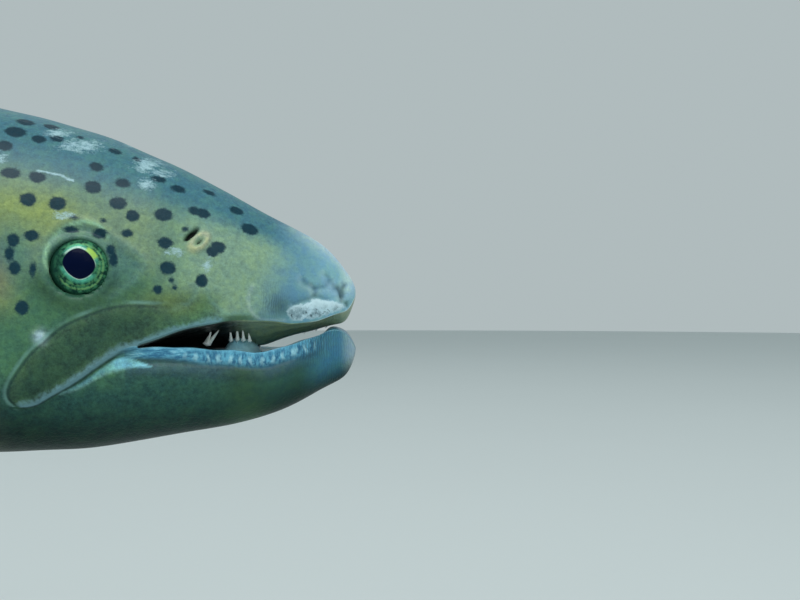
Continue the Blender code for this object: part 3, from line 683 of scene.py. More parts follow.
def head_colours(s, z, look):
    """The head's colours, from the crown down to the jaw and from the cheek out to the snout, with painted
    shade below the eye, under the jaw and between the gum and the hook, and a painted highlight on the hook's
    front edge.
    """
    lip, low = middle(s), lower_lip(s)
    crown = back(s) - z
    across = np.interp(s, [25, 75], [0.42, 1])
    paint = layered(look.cheek, (
        (ramp(z, 1, 12) * ramp(s, 46, 58), look.brow),
        (0.95 * hill(z, 22.5, 8) * ramp(s, 68, 84), look.olive),
        (0.55 * hill(z, 1, 7) * ramp(s, 84, 93), look.olive),
        (ramp(s, 60, 42) * ramp(z, -3, 3), look.muzzle),
        (ramp(s, 42, 34) * ramp(z, -9, -4), look.muzzle),
        (0.85 * hill(s, 50, 10) * hill(z, -2.4, 4.2), look.bronze),
        (0.95 * ramp(crown, 26 * across, 11 * across), look.back),
        (0.8 * ramp(inside_of(ORBIT, s, z), -2.2, 2.2), look.socket),
        (0.9 * hill(s, 91, 6) * hill(z, 11, 9), look.socket),
        (0.75 * hill(eye_distance(s, z), 10.4, 3.2) * ramp(z, 9, 1), look.shade),
        (0.2 * ramp(s, 88, 96) * hill(z, 4, 6), look.stripe),
        (ramp(s + 0.3 * (z - 4), 31, 15), look.snout),
        (0.3 * ramp(s, 16, 5), look.pale_gum),
        (0.55 * ramp(s, 5.5, 1.5) * ramp(z, -3, 3), look.white_lip),
        (0.9 * ramp(z, -2, -12) * ramp(s, 78, 96), look.cheek)))
    depth = (low - z) / np.maximum(low - belly(s), HAIR)
    jaw = layered(look.jaw, (
        # painted shade darkening the jaw towards its underside
        (ramp(depth + np.clip(s - 50, 0, 60) * 0.004, 0.4, 1.05), look.jaw_under_shade),
        # painted shade between the gum and the hook
        (0.9 * hill(s, 15, 5) * ramp(depth, 0.5, 0.1), look.gum_dark),
        (ramp(s, 17, 7) * ramp(depth, 1.05, 0.45), look.hook),
        # painted highlight on the hook's front edge
        (0.55 * ramp(s, 5, 0) * ramp(z, -26, -17), look.snout_highlight)))
    below = z < np.minimum(low, lip) - 0.01
    share = ramp(s, 150, 118) * np.where(s < 62, 1, ramp(z, -19, -28))
    paint = np.where(below[:, None], paint + (jaw - paint) * share[:, None], paint)
    in_gap = (z < lip) & (z >= low) & (s < MOUTH_CORNER)
    return np.where(in_gap[:, None], np.array(look.jaw), paint)


def head_marks(paint, s, y, z, look):
    """Lips, gum, membrane, creases and ridges laid over the head's colours, with painted shade in the
    creases, grooves and round the eyeball and painted highlights on the ridges, folds, lid and the snout's
    front edge.
    """
    low = lower_lip(s)
    under = low - z  # below the lower lip's edge
    on_lower = (z <= low + 0.01) * ramp(s, 66, 56)
    fold = hill(under, 6.0, 2.0) * ramp(s, 12, 24) * on_lower
    plate = inside_of(MAXILLA, s, z)
    corner = ramp(inside_of(CORNER_SKIN, s, z), -0.35, 0.3) * (plate < 0.4)
    # rim: the snout's front edge, where a painted highlight is laid
    rim = ramp(np.abs(y), 0.75 * upper_width(s) + 0.01, 0) * ramp(s, 26, 8) * (z > low)
    rho = eye_distance(s, z)
    layers = [
        (0.75 * fold, look.lip_fold),
        (0.35 * hill(under, 8.2, 0.7) * hill(s, 38, 10) * on_lower, look.lip_fold),
        (ramp(plate, -1.2, 1.0) * ramp(s, 44, 58), look.maxilla),
        (0.7 * ramp(plate, 1.0, 4.0) * ramp(s, 52, 64), look.maxilla_dark),
        ((0.75 - 0.4 * ramp(s, 63, 67)) * corner, look.membrane),
        # a pale line along the lower edge of the skin in the mouth's corner
        (0.55 * hill(distance_to(CORNER_SKIN[8:], s, z)[0], 0.1, 0.35), look.ridge_highlight_and_pale_edge),
        (hill(np.hypot(s - 83.4, z + 11.3), 0, 1.5) * (y < 0), look.white_lip),
        (0.75 * hill(s, 31.5, 5.5) * ramp(z - middle(s), 2.9, 1.5), look.shade),
        # painted highlight along the lip's ridge
        (0.5 * trace(LIP_RIDGE, s, z, 0.45), look.ridge_highlight_and_pale_edge),
        # painted shade in the groove along the hook
        (0.55 * trace(HOOK_LINE, s, z, 0.7), look.gum_dark),
        # painted shade in a dark patch behind the white lip
        (0.55 * hill(s, 20.8, 3.6) * hill(z, -3.4, 3.4), look.dark_line),
        # painted highlight along the snout's fold and on its front edge
        (0.2 * trace(SNOUT_FOLD, s, z, 0.5), look.snout_highlight),
        (0.75 * rim, look.snout_highlight),
        # painted highlight on the orbit's rim in front of the eye
        (0.2 * hill(inside_of(ORBIT, s, z), -0.4, 0.8) * ramp(s, 68, 64), look.ridge_highlight_and_pale_edge),
        # painted shade where the skin closes on the eyeball, strongest under the upper lid
        ((0.7 + 0.25 * ramp(z, 8, 14)) * ramp(rho, EYE_RIM + 1.1, EYE_RIM), look.eye_rim_shade),
        # painted highlight on the ridge round the upper lid
        (trace(LID_RING, s, z, 0.5), look.lid_highlight),
        (0.4 * hill(rho, EYE_RIM + 2.6, 1.5) * ramp(z, 11, 15), look.muzzle),
        # painted highlight along the muzzle's fold and the cheek's fold
        (0.3 * trace(MUZZLE_FOLD, s, z, 0.6), look.ridge_highlight_and_pale_edge),
        (0.3 * trace(CHEEK_FOLD[1:], s, z, 0.6), look.ridge_highlight_and_pale_edge)]
    # the snout's grooves and wrinkles: painted shade in each groove and a painted highlight just above it
    for path, strength in (*((g, 0.6) for g in TIP_GROOVES), *((w, 0.3) for w in SNOUT_WRINKLES)):
        groove, above = distance_to(path, s, z)
        layers.append((strength * hill(groove, 0, 0.65), look.dark_line))
        layers.append((0.12 * hill(above, 1.3, 0.8), look.snout_highlight))
    layers.append((0.9 * hill(nostril_oval(s, z, *NOSTRIL_FLAP), -0.35, 0.65), look.nostril))
    return layered(paint, layers)


def eye_distance(s, z):
    """Distance from the middle of the opening between the lids, a little below the eyeball's."""
    return np.hypot(s - LID_MIDDLE[0], (z - LID_MIDDLE[1]) * 1.03)


# White rubbed places on the crown, brow and muzzle: place, half sizes
SCARS = ((77.5, 42.4, 8.0, 2.9), (59.5, 37.4, 5.0, 3.3), (55, 34.8, 3.8, 2.0), (58.5, 31.2, 3.4, 2.5),
         (84.5, 46.4, 4.6, 1.9), (78.3, 21.8, 4.2, 1.8), (49.6, 12.2, 3.2, 1.6), (40.8, 8.4, 1.6, 2.9),
         (97, 38, 3, 2.2), (66, 45, 3.4, 1.6))
SCRATCH = ((87, 34.2), (82, 33.4), (77.2, 31.6))


def scar_mask(s, y, z):
    """1 in the middle of the rubbed places and falling off round them; only the right side has them."""
    mask = 1.2 * trace(SCRATCH, s, z, 0.45)
    for at_s, at_z, length, height in SCARS:
        mask = np.maximum(mask, np.exp(-((s - at_s) / length) ** 2 - ((z - at_z) / height) ** 2))
    return mask * (y < 0)


NOSTRIL = (43.8, 15.6)
NOSTRIL_LEAN = math.radians(44)
# Its ovals: place along the slit and across it, half length, half width
REAR_SLIT = ((0.1, 2.0), 2.4, 0.7)
FRONT_SLIT = ((-0.1, -1.1), 1.8, 0.42)
NOSTRIL_FLAP = ((0, -1.0), 3.2, 2.0)


def nostril_oval(s, z, place, length, width):
    """Signed distance to an oval beside the nostril, negative inside.

    Its axes run along the slit, which leans back as it goes down, and across it.
    """
    ds, dz = s - NOSTRIL[0], z - NOSTRIL[1]
    along = dz * math.cos(NOSTRIL_LEAN) - ds * math.sin(NOSTRIL_LEAN)
    across = ds * math.cos(NOSTRIL_LEAN) + dz * math.sin(NOSTRIL_LEAN)
    share = np.hypot((along - place[0]) / length, (across - place[1]) / width)
    return (share - 1) * min(length, width)


def nostril_pits(s, z):
    """Signed distance to the nearer of the two slits, negative inside."""
    return np.minimum(nostril_oval(s, z, *REAR_SLIT), nostril_oval(s, z, *FRONT_SLIT) + 0.22)


# ---- relief --------------------------------------------------------------------------------------
def relief(s, z):
    """How far the head's skin rises, in mm along its normal: socket, plates, lips, folds and pits."""
    rho = eye_distance(s, z)
    socket, plate = inside_of(ORBIT, s, z), inside_of(MAXILLA, s, z)
    rise = (0.55 + 0.75 * ramp(z, 8, 15)) * hill(rho, EYE_RIM + 1.0, 1.0)
    rise += -0.25 * hill(rho, EYE_RIM + 3.1, 0.7) - 7.0 * ramp(rho, LID[1] + 0.35, LID[0] - 0.3)
    rise += -0.45 * ramp(socket, -0.4, 2.2) * ramp(rho, EYE_RIM, EYE_RIM + 1.5)
    rise += 0.3 * hill(socket, -0.7, 0.8) + 0.25 * trace(LID_RING, s, z, 0.5)
    lift = ramp(s, 42, 66)
    rise += (0.6 * ramp(plate, -0.9, 1.1) + 0.3 * ramp(plate, 0.8, 5) - 0.3 * hill(plate, -0.9, 0.8)) * lift
    lower_edge = distance_to(LIP_EDGE, s, z)[0]
    rise += 0.4 * hill(lower_edge, 1.0, 0.9) * ramp(plate, -0.5, 0.5) * ramp(s, 38, 50)
    rise += -0.25 * hill(lower_edge, 2.9, 0.7) * ramp(plate, 0, 0.5) * ramp(s, 44, 54)
    rise += 0.3 * ramp(inside_of(WHITE_LIP, s, z), -0.8, 1.2)
    fold, beside = distance_to(SNOUT_FOLD, s, z)
    rise += 0.22 * hill(fold, 0, 0.8) - 0.2 * hill(beside, -1.5, 0.8)
    for path, depth in (*((g, 0.6) for g in TIP_GROOVES), *((w, 0.22) for w in SNOUT_WRINKLES),
                        (CHEEK_FOLD, 0.35), (MUZZLE_FOLD, -0.25), (JAW_JOINT, 0.4),
                        (INTEROPERCLE, 0.6)):
        rise += -depth * trace(path, s, z, 0.7)
    under = lower_lip(s) - z
    beads = 0.5 + 0.5 * np.cos(2 * math.pi * s / BEAD_LENGTH)
    lip = 0.35 * hill(under, 6, 1.5) - 0.45 * hill(under, 4.4, 0.8) - 0.3 * hill(under, 8.6, 0.8)
    lip += 0.35 * beads * hill(under, 2.2, 1.2) * ramp(s, 54, 44)
    rise += lip * (under >= -0.01) * ramp(s, 12, 20) * ramp(s, 66, 57)
    flap = nostril_oval(s, z, *NOSTRIL_FLAP)
    rise += 0.6 * ramp(flap, 0.6, -0.5) + 0.4 * hill(flap, -0.4, 0.5)
    rise += -1.9 * ramp(nostril_pits(s, z), 0.25, -0.25)
    preopercle, before = distance_to(PREOPERCLE, s, z)
    rise += 0.45 * ramp(before, -1.5, 2.5) * ramp(preopercle, 9, 2) - 0.4 * hill(preopercle, 0, 0.9)
    gill, behind = distance_to(GILL_EDGE, s, z)
    rise += 1.3 * ramp(gill, 26, 4) * ramp(behind, 0.2, -0.8) - 1.5 * hill(behind, 1.4, 1.3)
    for k in range(5):
        ray = ((104 + 4 * k, -41.5 - 0.5 * k), (122 + 5 * k, -39.5 + 0.6 * k), (146 + 3 * k, -35 + 1.8 * k))
        rise += -0.35 * trace(ray, s, z, 0.8)
    wave = np.sin(s / 5.1 + z / 7.3) + np.sin(s / 8.7 - z / 4.9 + 1.3) + np.sin(s / 3.3 + z / 11 + 0.6)
    return rise + 0.06 * wave * ramp(s, 3, 12)


# ---- skin ----------------------------------------------------------------------------------------
def spaced(low, high, step):
    """Places from low to high whose spacing follows the step function."""
    fine = np.linspace(low, high, 4001)
    total = np.concatenate([[0], np.cumsum(np.diff(fine) / step((fine[1:] + fine[:-1]) / 2))])
    count = int(math.ceil(total[-1]))
    return np.interp(np.linspace(0, total[-1], count + 1), total, fine)


def skin_rows():
    """Distances of the skin's sections: finest at the snout tip, the nostrils and the eyes."""
    tip = np.linspace(0, math.sqrt(TIP_END), 26) ** 2
    places = [TIP_END, 18, 24, 37, 40, 48, 51, 60, 88, 100, 110, 125, FINE_END]
    steps = [0.42, 0.42, 0.6, 0.66, 0.42, 0.42, 0.6, 0.52, 0.52, 0.7, 1.1, 1.5, 2.1]
    head = spaced(TIP_END, FINE_END, lambda s: np.interp(s, places, steps))
    head[np.argmin(np.abs(head - MOUTH_CORNER))] = MOUTH_CORNER
    trunk = np.linspace(FINE_END, FLESH_END, 62)
    return np.concatenate([tip, head[1:]]), trunk[1:]


def section_columns(count, finer):
    """Angles of a section from the right lip over the midline to the left lip.

    The angle is a quarter turn times 1 less a power of the share from the lip, which spaces the heights
    evenly beside the lip; finer gives the spacing's weight over that share.
    """
    share = spaced(0, 1, finer)
    share = np.interp(np.linspace(0, 1, count + 1), np.linspace(0, 1, len(share)), share)
    t = (math.pi / 2) * (1 - share**1.2)
    return np.concatenate([-t, t[-2::-1]])


def arc_points(s, t, lip_z, end_z, width, power):
    """A superellipse half section at each distance: y and z follow powers of the angle's sine and cosine."""
    y = width[:, None] * np.sign(t) * np.abs(np.sin(t)) ** power[:, None]
    z = lip_z[:, None] + (end_z - lip_z)[:, None] * np.clip(np.cos(t), 0, 1) ** power[:, None]
    return row_points(s, y, z)


def sheet_height(share, edge_z, middle_z, narrow):
    """Height of the mouth's roof or floor at a share of the way from the midline to the lip."""
    return edge_z + (middle_z - edge_z) * smooth_step(np.clip(1 - np.abs(share), 0, 1)) ** narrow


def roof_height(s, y):
    """Height of the mouth's roof at a distance behind the snout and a place across."""
    share = y / np.maximum(cavity_width(s, upper_width(s)), HAIR)
    return sheet_height(share, middle(s), palate(s), ROOF_POWER)


def floor_height(s, y):
    """Height of the mouth's floor at a distance behind the snout and a place across."""
    share = y / np.maximum(cavity_width(s, lower_width(s)), HAIR)
    return sheet_height(share, lower_lip(s), mouth_floor(s), FLOOR_POWER)


def mouth_sheet(s, edge_z, edge_width, middle_z, narrow):
    """Roof or floor of the mouth: level at the lip, then a smooth step to the midline's height.

    A larger power of the step narrows the ridge or the basin along the midline.
    """
    share = np.sin(np.linspace(-math.pi / 2, math.pi / 2, SHEET_COLUMNS))
    y = edge_width[:, None] * share
    z = sheet_height(share, edge_z[:, None], middle_z[:, None], narrow)
    z[-1] = edge_z[-1]
    return row_points(s, y, z)


def ringed(points):
    """Draws the grid's points beside the lid onto two circles, so that its edge runs clean.

    The distance from the opening's middle is held at the inner circle over one short range and at the
    outer circle over the next, and eased back to itself further out.
    """
    s, y, z = np.moveaxis(points, -1, 0)
    rho = eye_distance(s, z)
    inner, outer = LID
    end = outer + 1.2
    found = [0, inner - 0.9, inner - 0.32, inner + 0.3, outer - 0.3, outer + 0.32, end, 99]
    held = np.interp(rho, found, [0, inner - 0.6, inner, inner, outer, outer, outer + 1.0, 99])
    share = np.where(rho > HAIR, held / np.maximum(rho, HAIR), 1)
    near = (rho < end) & (z > middle(s) + 0.5)
    s, z = (np.where(near, centre + (v - centre) * share, v) for v, centre in zip((s, z), LID_MIDDLE))
    y = np.where(near, np.sign(y) * half_width(s, z), y)
    return np.stack([s, y, z], -1)


def skin_patches():
    """The skin's grids in fish millimetres, welded along their borders, and which points line the mouth."""
    front, rear = skin_rows()
    head_upper = section_columns(80, lambda u: 0.0125 / (1 + 1.1 * hill(u, 0.42, 0.22)))
    head_lower = section_columns(56, lambda u: 0.018 / (1 + 0.8 * hill(u, 0.05, 0.3)))
    patches = []
    for columns, edge, end, width, power, up in (
            (head_upper, middle, back, upper_width, square_above, True),
            (head_lower, lower_lip, belly, lower_width, square_below, False)):
        near = arc_points(front, columns, edge(front), end(front), width(front), power(front))
        near = ringed(near) if up else near
        far = arc_points(rear, columns[::2], edge(rear), end(rear), width(rear), power(rear))
        fine, coarse = len(columns), len(columns[::2])
        patches.append((near, grid_faces(len(front), fine, up)))
        seam = np.concatenate([near[-1], far[0]])
        patches.append((seam, stitch_faces(np.arange(fine), fine + np.arange(coarse), up)))
        patches.append((far, grid_faces(len(rear), coarse, up)))
    outer_count = len(joined(patches)[0])
    m = np.append(front[front < THROAT - 0.2], THROAT)
    for edge, width, depth, narrow, up in ((middle, upper_width, palate, ROOF_POWER, False),
                                           (lower_lip, lower_width, mouth_floor, FLOOR_POWER, True)):
        sheet = mouth_sheet(m, edge(m), cavity_width(m, width(m)), depth(m), narrow)
        patches.append((sheet, grid_faces(len(m), SHEET_COLUMNS, up)))
    points, faces, first = welded(*joined(patches))
    return points, faces, first >= outer_count


def skin_shape():
    """The skin's points, faces, resting places and mouth lining flags: relief raised and lips rounded."""
    rest, faces, lining = skin_patches()
    s, y, z = rest.T
    normal = outward(rest, faces)
    normal[s < 0.01] = (-1, 0, 0)
    inset = COAT_DEPTH * (0.3 + 0.7 * ramp(s, 110, 150))
    rise = np.zeros(len(rest))
    head = ~lining & (s < 215)
    rise[head] = relief(s[head], z[head]) * ramp(s[head], 215, 195)
    rise[~lining] -= inset[~lining]
    lateral = ~lining & (s > 175)
    rise[lateral] -= 0.3 * hill(z[lateral] - middle(s[lateral]), 0, 1.0)
    rise[lining] += 0.25 * np.sin(y[lining] * 1.7) * ramp(s[lining], 8, 20) * ramp(s[lining], 90, 70)
    points = rest + normal * rise[:, None]
    return eased(points, faces, lip_weight(s, y, z, lining), 9), faces, rest, lining


def lip_weight(s, y, z, lining):
    """How much a point is rounded off: most at the lips' edges in front of the mouth's corner."""
    to_upper, to_lower = np.abs(z - middle(s)), np.abs(z - lower_lip(s))
    outside = np.maximum(hill(to_upper, 0, 1.3), hill(to_lower, 0, 1.3))
    edge = np.minimum(cavity_width(s, upper_width(s)), cavity_width(s, lower_width(s))) - np.abs(y)
    weight = np.where(lining, hill(np.maximum(edge, 0), 0, 1.6), outside) * ramp(s, 66, 60)
    return 0.55 * np.maximum(weight, 0.6 * hill(s, 0, 2.0))


def lining_colours(s, y, z, look):
    """Inside of the mouth: pale gums at the edges, painted shade towards the throat and on the roof's rear.
    """
    roof = np.abs(z - roof_height(s, y)) < np.abs(z - floor_height(s, y))
    width = cavity_width(s, np.where(roof, upper_width(s), lower_width(s)))
    depth = np.maximum(width - np.abs(y), 0)
    return layered(np.where(roof[:, None], np.array(look.palate), np.array(look.mouth_floor)), (
        (~roof * ramp(depth, 9, 3) * ramp(s, 10, 18), look.gum),
        # painted shade on the roof's rear and deep in the mouth
        (roof * ramp(s, 28, 37), look.throat),
        (0.9 * ramp(s, 30, 62), look.throat),
        (0.7 * roof * ramp(depth, 1.2, 0.2) * ramp(s, 16, 8), look.white_lip),
        (~roof * ramp(s, 9, 5), look.hook)))


def paint_of(rest, lining, look):
    """The colour of every point of the skin or coat, from where it lies on the fish."""
    s, y, z = rest.T
    body = body_colours(s, z, look)
    paint = body + (head_colours(s, z, look) - body) * ramp(s, 158, 90)[:, None]
    head = s < 140
    paint[head] = head_marks(paint[head], s[head], y[head], z[head], look)
    paint[lining] = lining_colours(s[lining], y[lining], z[lining], look)
    return np.clip(paint, 0, 1)


def make_skin(look, finish):
    """One closed skin over the body, with its colours and the distances that its finish reads."""
    points, faces, rest, lining = skin_shape()
    s, y, z = rest.T
    spots = both_sides(rest, *spot_sets(look))
    below = z < np.where(s < MOUTH_CORNER, lower_lip(s), -24)
    spots[lining | below & (s < 112)] = SPOT_REACH
    under = lower_lip(s) - z
    on_lip = ~lining & (under > -0.01)
    plate = inside_of(MAXILLA, s, z)
    grain = 0.6 + 0.4 * np.maximum(ramp(plate, -1, 1), ramp(z, -14, -26) * ramp(s, 110, 90))
    # creased: where fine folds are bumped and darkened with painted shade
    creased = 1.6 * hill(s, 12, 4.5) * ramp(under, 11, 2) + 0.5 * ramp(s, 11, 7)
    creased = 0.8 * hill(s, 23, 3.6) * hill(z, -2.5, 5) + on_lip * creased
    slick = (0.15 + 0.85 * ramp(z, -34, -8)) * (0.25 + 0.75 * ramp(back(s) - z, 3, 20))
    gill = np.clip(distance_to(GILL_EDGE, s, z)[1], -20, 20)
    marks = {
        "spot": spots,
        "pit": np.where(lining | (s > 60), 5, nostril_pits(s, z)),
        "grain": grain * (0.35 + 0.65 * ramp(s + 0.4 * z, 16, 34)),
        "wet": np.where(lining, 1, on_lip * ramp(under, 9, 4) * ramp(s, 66, 56)),
        "plate": np.where(lining, -5, np.clip(plate, -5, 5)),
        "lower_edge": np.clip(distance_to(LIP_EDGE, s, z)[1], -9, 9),
        "hem": ramp(s, 47, 60),
        "upper": np.where(lining, 0, (z > middle(s) - 0.01) * ramp(s, 34, 39)),
        "slick": np.where(lining, 1, slick),
        "under": np.where(on_lip, under * np.interp(s, [42, 60], [1, 1.5]), np.where(lining, -1, 20)),
        "gummed": on_lip * ramp(s, 8, 14) * ramp(s, 66, 54),
        "scar": np.where(lining, 0, scar_mask(s, y, z)),
        "creased": np.where(lining, 0, creased),
        "gill": np.where(lining | (s > 200) | (s < 100), 20, gill),
        "lip_patch": np.where(lining, -5, np.clip(inside_of(WHITE_LIP, s, z), -5, 5)),
    }
    new_piece("skin", points, faces, finish, "skin",
              ("head", "trunk", "tail_stalk", "lower_jaw", "maxilla_left", "maxilla_right",
               "gill_cover_left", "gill_cover_right"),
              marks, {"paint": paint_of(rest, lining, look)})


def spot_sets(look):
    """Spots of the right side and of the left side."""
    return (np.vstack([head_spots(0.0, 1), body_spots(11, look.spot_size)]),
            np.vstack([head_spots(2.2, 2), body_spots(23, look.spot_size)]))


# ---- scales --------------------------------------------------------------------------------------
def scale_sheet(look):
    """Roots of one side's scales as (s, a): staggered rows from the gill cover to the tail's root."""
    along, rows = look.scales_along, look.scales_round
    i, j = np.meshgrid(np.arange(along + 24), np.arange(rows), indexing="ij")
    a = -1 + 2 * (j + 0.5) / rows
    pitch = (SCALES_END - SCALES_START) / along
    s = SCALES_END - pitch * (i + 0.5 * (j % 2))
    first = np.interp(a, [-1, -0.75, -0.5, -0.25, 0, 0.25, 0.5, 0.75, 1],
                      [131, 150, 169, 181, 185, 175, 150, 133, 124])
    keep = s > first
    return s[keep], a[keep], (s - first)[keep] / pitch, pitch


def surface_and_normal(s, a):
    """The left side's surface and its unit normal, from small steps along and round the body."""
    here = around(s, a)
    run = around(s + 0.05, a) - around(s - 0.05, a)
    turn = around(s, np.minimum(a + 0.002, 1)) - around(s, a - 0.002)
    normal = unit(np.cross(turn, run))
    out = np.stack([0 * s, here[..., 1] + 0.01, here[..., 2] - middle(s)], -1)
    return here, normal * np.sign(np.sum(normal * out, -1))[..., None]


def make_scales(look, finish):
    """Thin closed lenses, rooted in the skin and lifting to the rear: one piece for each side."""
    s, a, rank, pitch = scale_sheet(look)
    draw = np.random.default_rng(5)
    grown = 0.45 + 0.55 * ramp(rank, 0, 8)
    size = (grown * draw.uniform(0.94, 1.06, len(s)))[:, None]
    turn = np.linspace(0, 2 * math.pi, SCALE_OUTLINE, endpoint=False)
    x = np.concatenate([np.cos(turn), [0.1, 0.0]])
    w = np.concatenate([np.sin(turn) * (1 - 0.12 * np.cos(turn)), [0, 0]])
    height = -0.24 + 0.46 * ((x + 1) / 2) ** 0.85 - 0.06 * np.abs(w)
    height[SCALE_OUTLINE:] += (0.07, -0.1)
    at_a = np.clip(a[:, None] + w * size * 1.95 / look.scales_round, -0.9995, 0.9995)
    place, normal = surface_and_normal(s[:, None] + x * size * pitch * 0.92, at_a)
    tall = (height * look.scale_lift)[None, :] * (grown * draw.uniform(0.85, 1.1, len(s)))[:, None]
    points = (place + normal * (tall - 0.02)[..., None]).reshape(-1, 3)
    rest = place.reshape(-1, 3)
    k = np.arange(SCALE_OUTLINE)
    after = (k + 1) % SCALE_OUTLINE
    top = np.stack([k, after, np.full_like(k, SCALE_OUTLINE)], 1)
    under = np.stack([after, k, np.full_like(k, SCALE_OUTLINE + 1)], 1)
    count = len(x)
    faces = (np.concatenate([top, under])[None] + (np.arange(len(s)) * count)[:, None, None]).reshape(-1, 3)
    root_u = 0.02 + 0.96 * (s - s.min()) / (s.max() - s.min())
    root_v = 0.02 + 0.96 * (a + 1) / 2
    patch = np.stack([root_u[:, None] + 0.0015 * x, root_v[:, None] + 0.0015 * w], -1).reshape(-1, 2)
    chance = np.repeat(draw.random(len(s)), count)
    # rim: 0 at a scale's front, 1 at its free edge and a quarter under it; the finish lays painted shade by
    # it
    rim = np.tile(np.clip((x + 1) / 2, 0, 1) ** 2 * np.append(np.ones(SCALE_OUTLINE), [0.15, 1]), len(s))
    right, left = spot_sets(look)
    for word, side, spots in (("right", -1, right), ("left", 1, left)):
        mirror = np.array([1, side, 1])
        values = {"spot": spot_field(rest, spots), "chance": chance, "rim": rim}
        colours = {"paint": paint_of(rest * mirror, np.zeros(len(rest), bool), look)}
        new_piece("scales_" + word, points * mirror, faces, finish, "skin", (), values, colours,
                  {"OFBake": patch})


# ---- eyes ----------------------------------------------------------------------------------------
def turned(points, turn, lift):
    """Points turned about the upright axis, then after a tilt about the body's axis, as the solids are."""
    cos_t, sin_t, cos_l, sin_l = math.cos(turn), math.sin(turn), math.cos(lift), math.sin(lift)
    s, y, z = points.T
    y, z = y * cos_l - z * sin_l, y * sin_l + z * cos_l
    s, y = s * cos_t - y * sin_t, s * sin_t + y * cos_t
    return np.stack([s, y, z], 1)


def make_eyes(finish):
    """Flattened balls with a low dome over the pupil and a shallow groove where the iris ends."""
    rings, spokes = 61, 97
    polar, spin = round_grid(math.pi, rings, spokes)
    radius = EYE["radius"] * np.sin(polar)
    dome = 0.35 * hill(radius, 0, 4.5) - 0.15 * hill(radius, 6.6, 0.6)
    out = EYE["depth"] * np.cos(polar) + (polar < math.pi / 2) * dome
    surface = float(half_width(np.array(EYE["s"]), np.array(EYE["z"])))
    for word, side in (("right", -1), ("left", 1)):
        local = np.stack([radius * np.cos(spin), side * out, radius * np.sin(spin)], -1).reshape(-1, 3)
        centre = np.array([EYE["s"], side * (surface + EYE["stands_out"] - EYE["depth"]), EYE["z"]])
        points = turned(local, side * EYE["turn"], side * EYE["lift"]) + centre
        points, faces, first = welded(points, grid_faces(rings, spokes))
        iris = 0.5 + local[first][:, [0, 2]] * (-1, 1) / IRIS_SPAN
        new_piece("trout_eye_" + word, points, faces, finish, "eye", ("eye_" + word,), uv={"iris": iris})


# ---- teeth and tongue ----------------------------------------------------------------------------
def spike(foot, tip, radius, hook):
    """A tooth as a grid: rings that shrink to the tip along a line that bows by hook towards the rear."""
    rings, spokes = 7, 9
    v, spin = round_grid(1, rings, spokes)
    foot, tip = np.array(foot, float), np.array(tip, float)
    along = tip - foot
    aside = unit(np.cross(along, [1.0, 0.3, 0.2]))
    other = np.cross(along, aside) / np.linalg.norm(along)
    centre = foot + along * v[..., None] - np.array([2 * hook, 0, 0]) * (v * (1 - v))[..., None]
    ring = radius * (1 - v) ** 0.75
    ring[0] = 0
    ring[1] = radius
    points = centre + ring[..., None] * (np.cos(spin)[..., None] * aside + np.sin(spin)[..., None] * other)
    points, faces, _ = welded(points, grid_faces(rings, spokes))
    return points, facing_out(to_world(points), faces)


def make_teeth(finish):
    """Small teeth inside each lip, in the roof's middle and hooked ones on the tongue."""
    draw = np.random.default_rng(9)
    teeth = []
    for side in (-1, 1):
        for s in np.linspace(9, 50, 17) + draw.uniform(-0.5, 0.5, 17):
            z, y = float(lower_lip(s)), side * (float(lower_width(s)) - 2.1)
            tip = (s + 0.6, y - side * 0.4, z + draw.uniform(-0.7, -0.2))
            teeth.append(spike((s, y, z - 1.6), tip, 0.42, 0.2))
        for s in np.linspace(10, 36, 11) + draw.uniform(-0.5, 0.5, 11):
            z, y = float(middle(s)), side * (float(upper_width(s)) - 2.6)
            tip = (s + 0.7, y - side * 0.5, z - draw.uniform(0.1, 0.4))
            teeth.append(spike((s, y, z + 1.2), tip, 0.4, 0.3))
        for s, tall in ((30.5, -10.8), (32.3, -9.6), (34.0, -8.9), (35.9, -9.8)):
            teeth.append(spike((s, side * 9.6, -13.8), (s + 0.3, side * 10, tall), 0.7, 0.3))
    for s in (8.5, 11.5, 15.0):
        z = float(palate(s))
        teeth.append(spike((s, 0.8, z + 1), (s + 0.8, 0.6, z - 0.7), 0.45, 0.3))
    for tip_s, tip_z, radius in ((38.7, -9.7, 0.85), (41.0, -9.6, 0.7), (41.6, -11.2, 1.35)):
        teeth.append(spike((42.6, -12.2, -14.8), (tip_s, -12, tip_z), radius, 0.1))
    new_piece("teeth", *joined(teeth), finish, "mouth")


TONGUE = {"start": 28.2, "end": 74.0, "half_width": 12.0}
TONGUE_TOP = ((28.2, -17), (29.2, -14.8), (30.5, -12.9), (32, -11.7), (34, -11.2), (35.5, -11.8), (37, -13.6),
              (39, -16.2), (45, -18.2), (74, -18.4))


def tongue_plan(s):
    """Half the tongue's width: round at the tip, narrowing towards the throat."""
    share = (s - TONGUE["start"]) / (TONGUE["end"] - TONGUE["start"])
    round_tip = np.clip(1 - (1 - np.minimum(share * 6, 1)) ** 2, 0, 1) ** 0.5
    return TONGUE["half_width"] * round_tip * (1 - 0.6 * share**2)


def tongue_sheets(s, across):
    """The tongue's places across, bottom and top: a raised tip, an arched top, all clear of the roof."""
    y = tongue_plan(s)[:, None] * across
    low = floor_height(s[:, None], y) - 0.4
    crest = np.interp(s, *np.transpose(TONGUE_TOP))[:, None]
    top = low + np.maximum(crest - low, 0) * np.clip(1 - across**4, 0, 1) ** 0.6
    return y, low, np.maximum(np.minimum(top, roof_height(s[:, None], y) - 0.5), low + 0.2 * (1 - across**4))


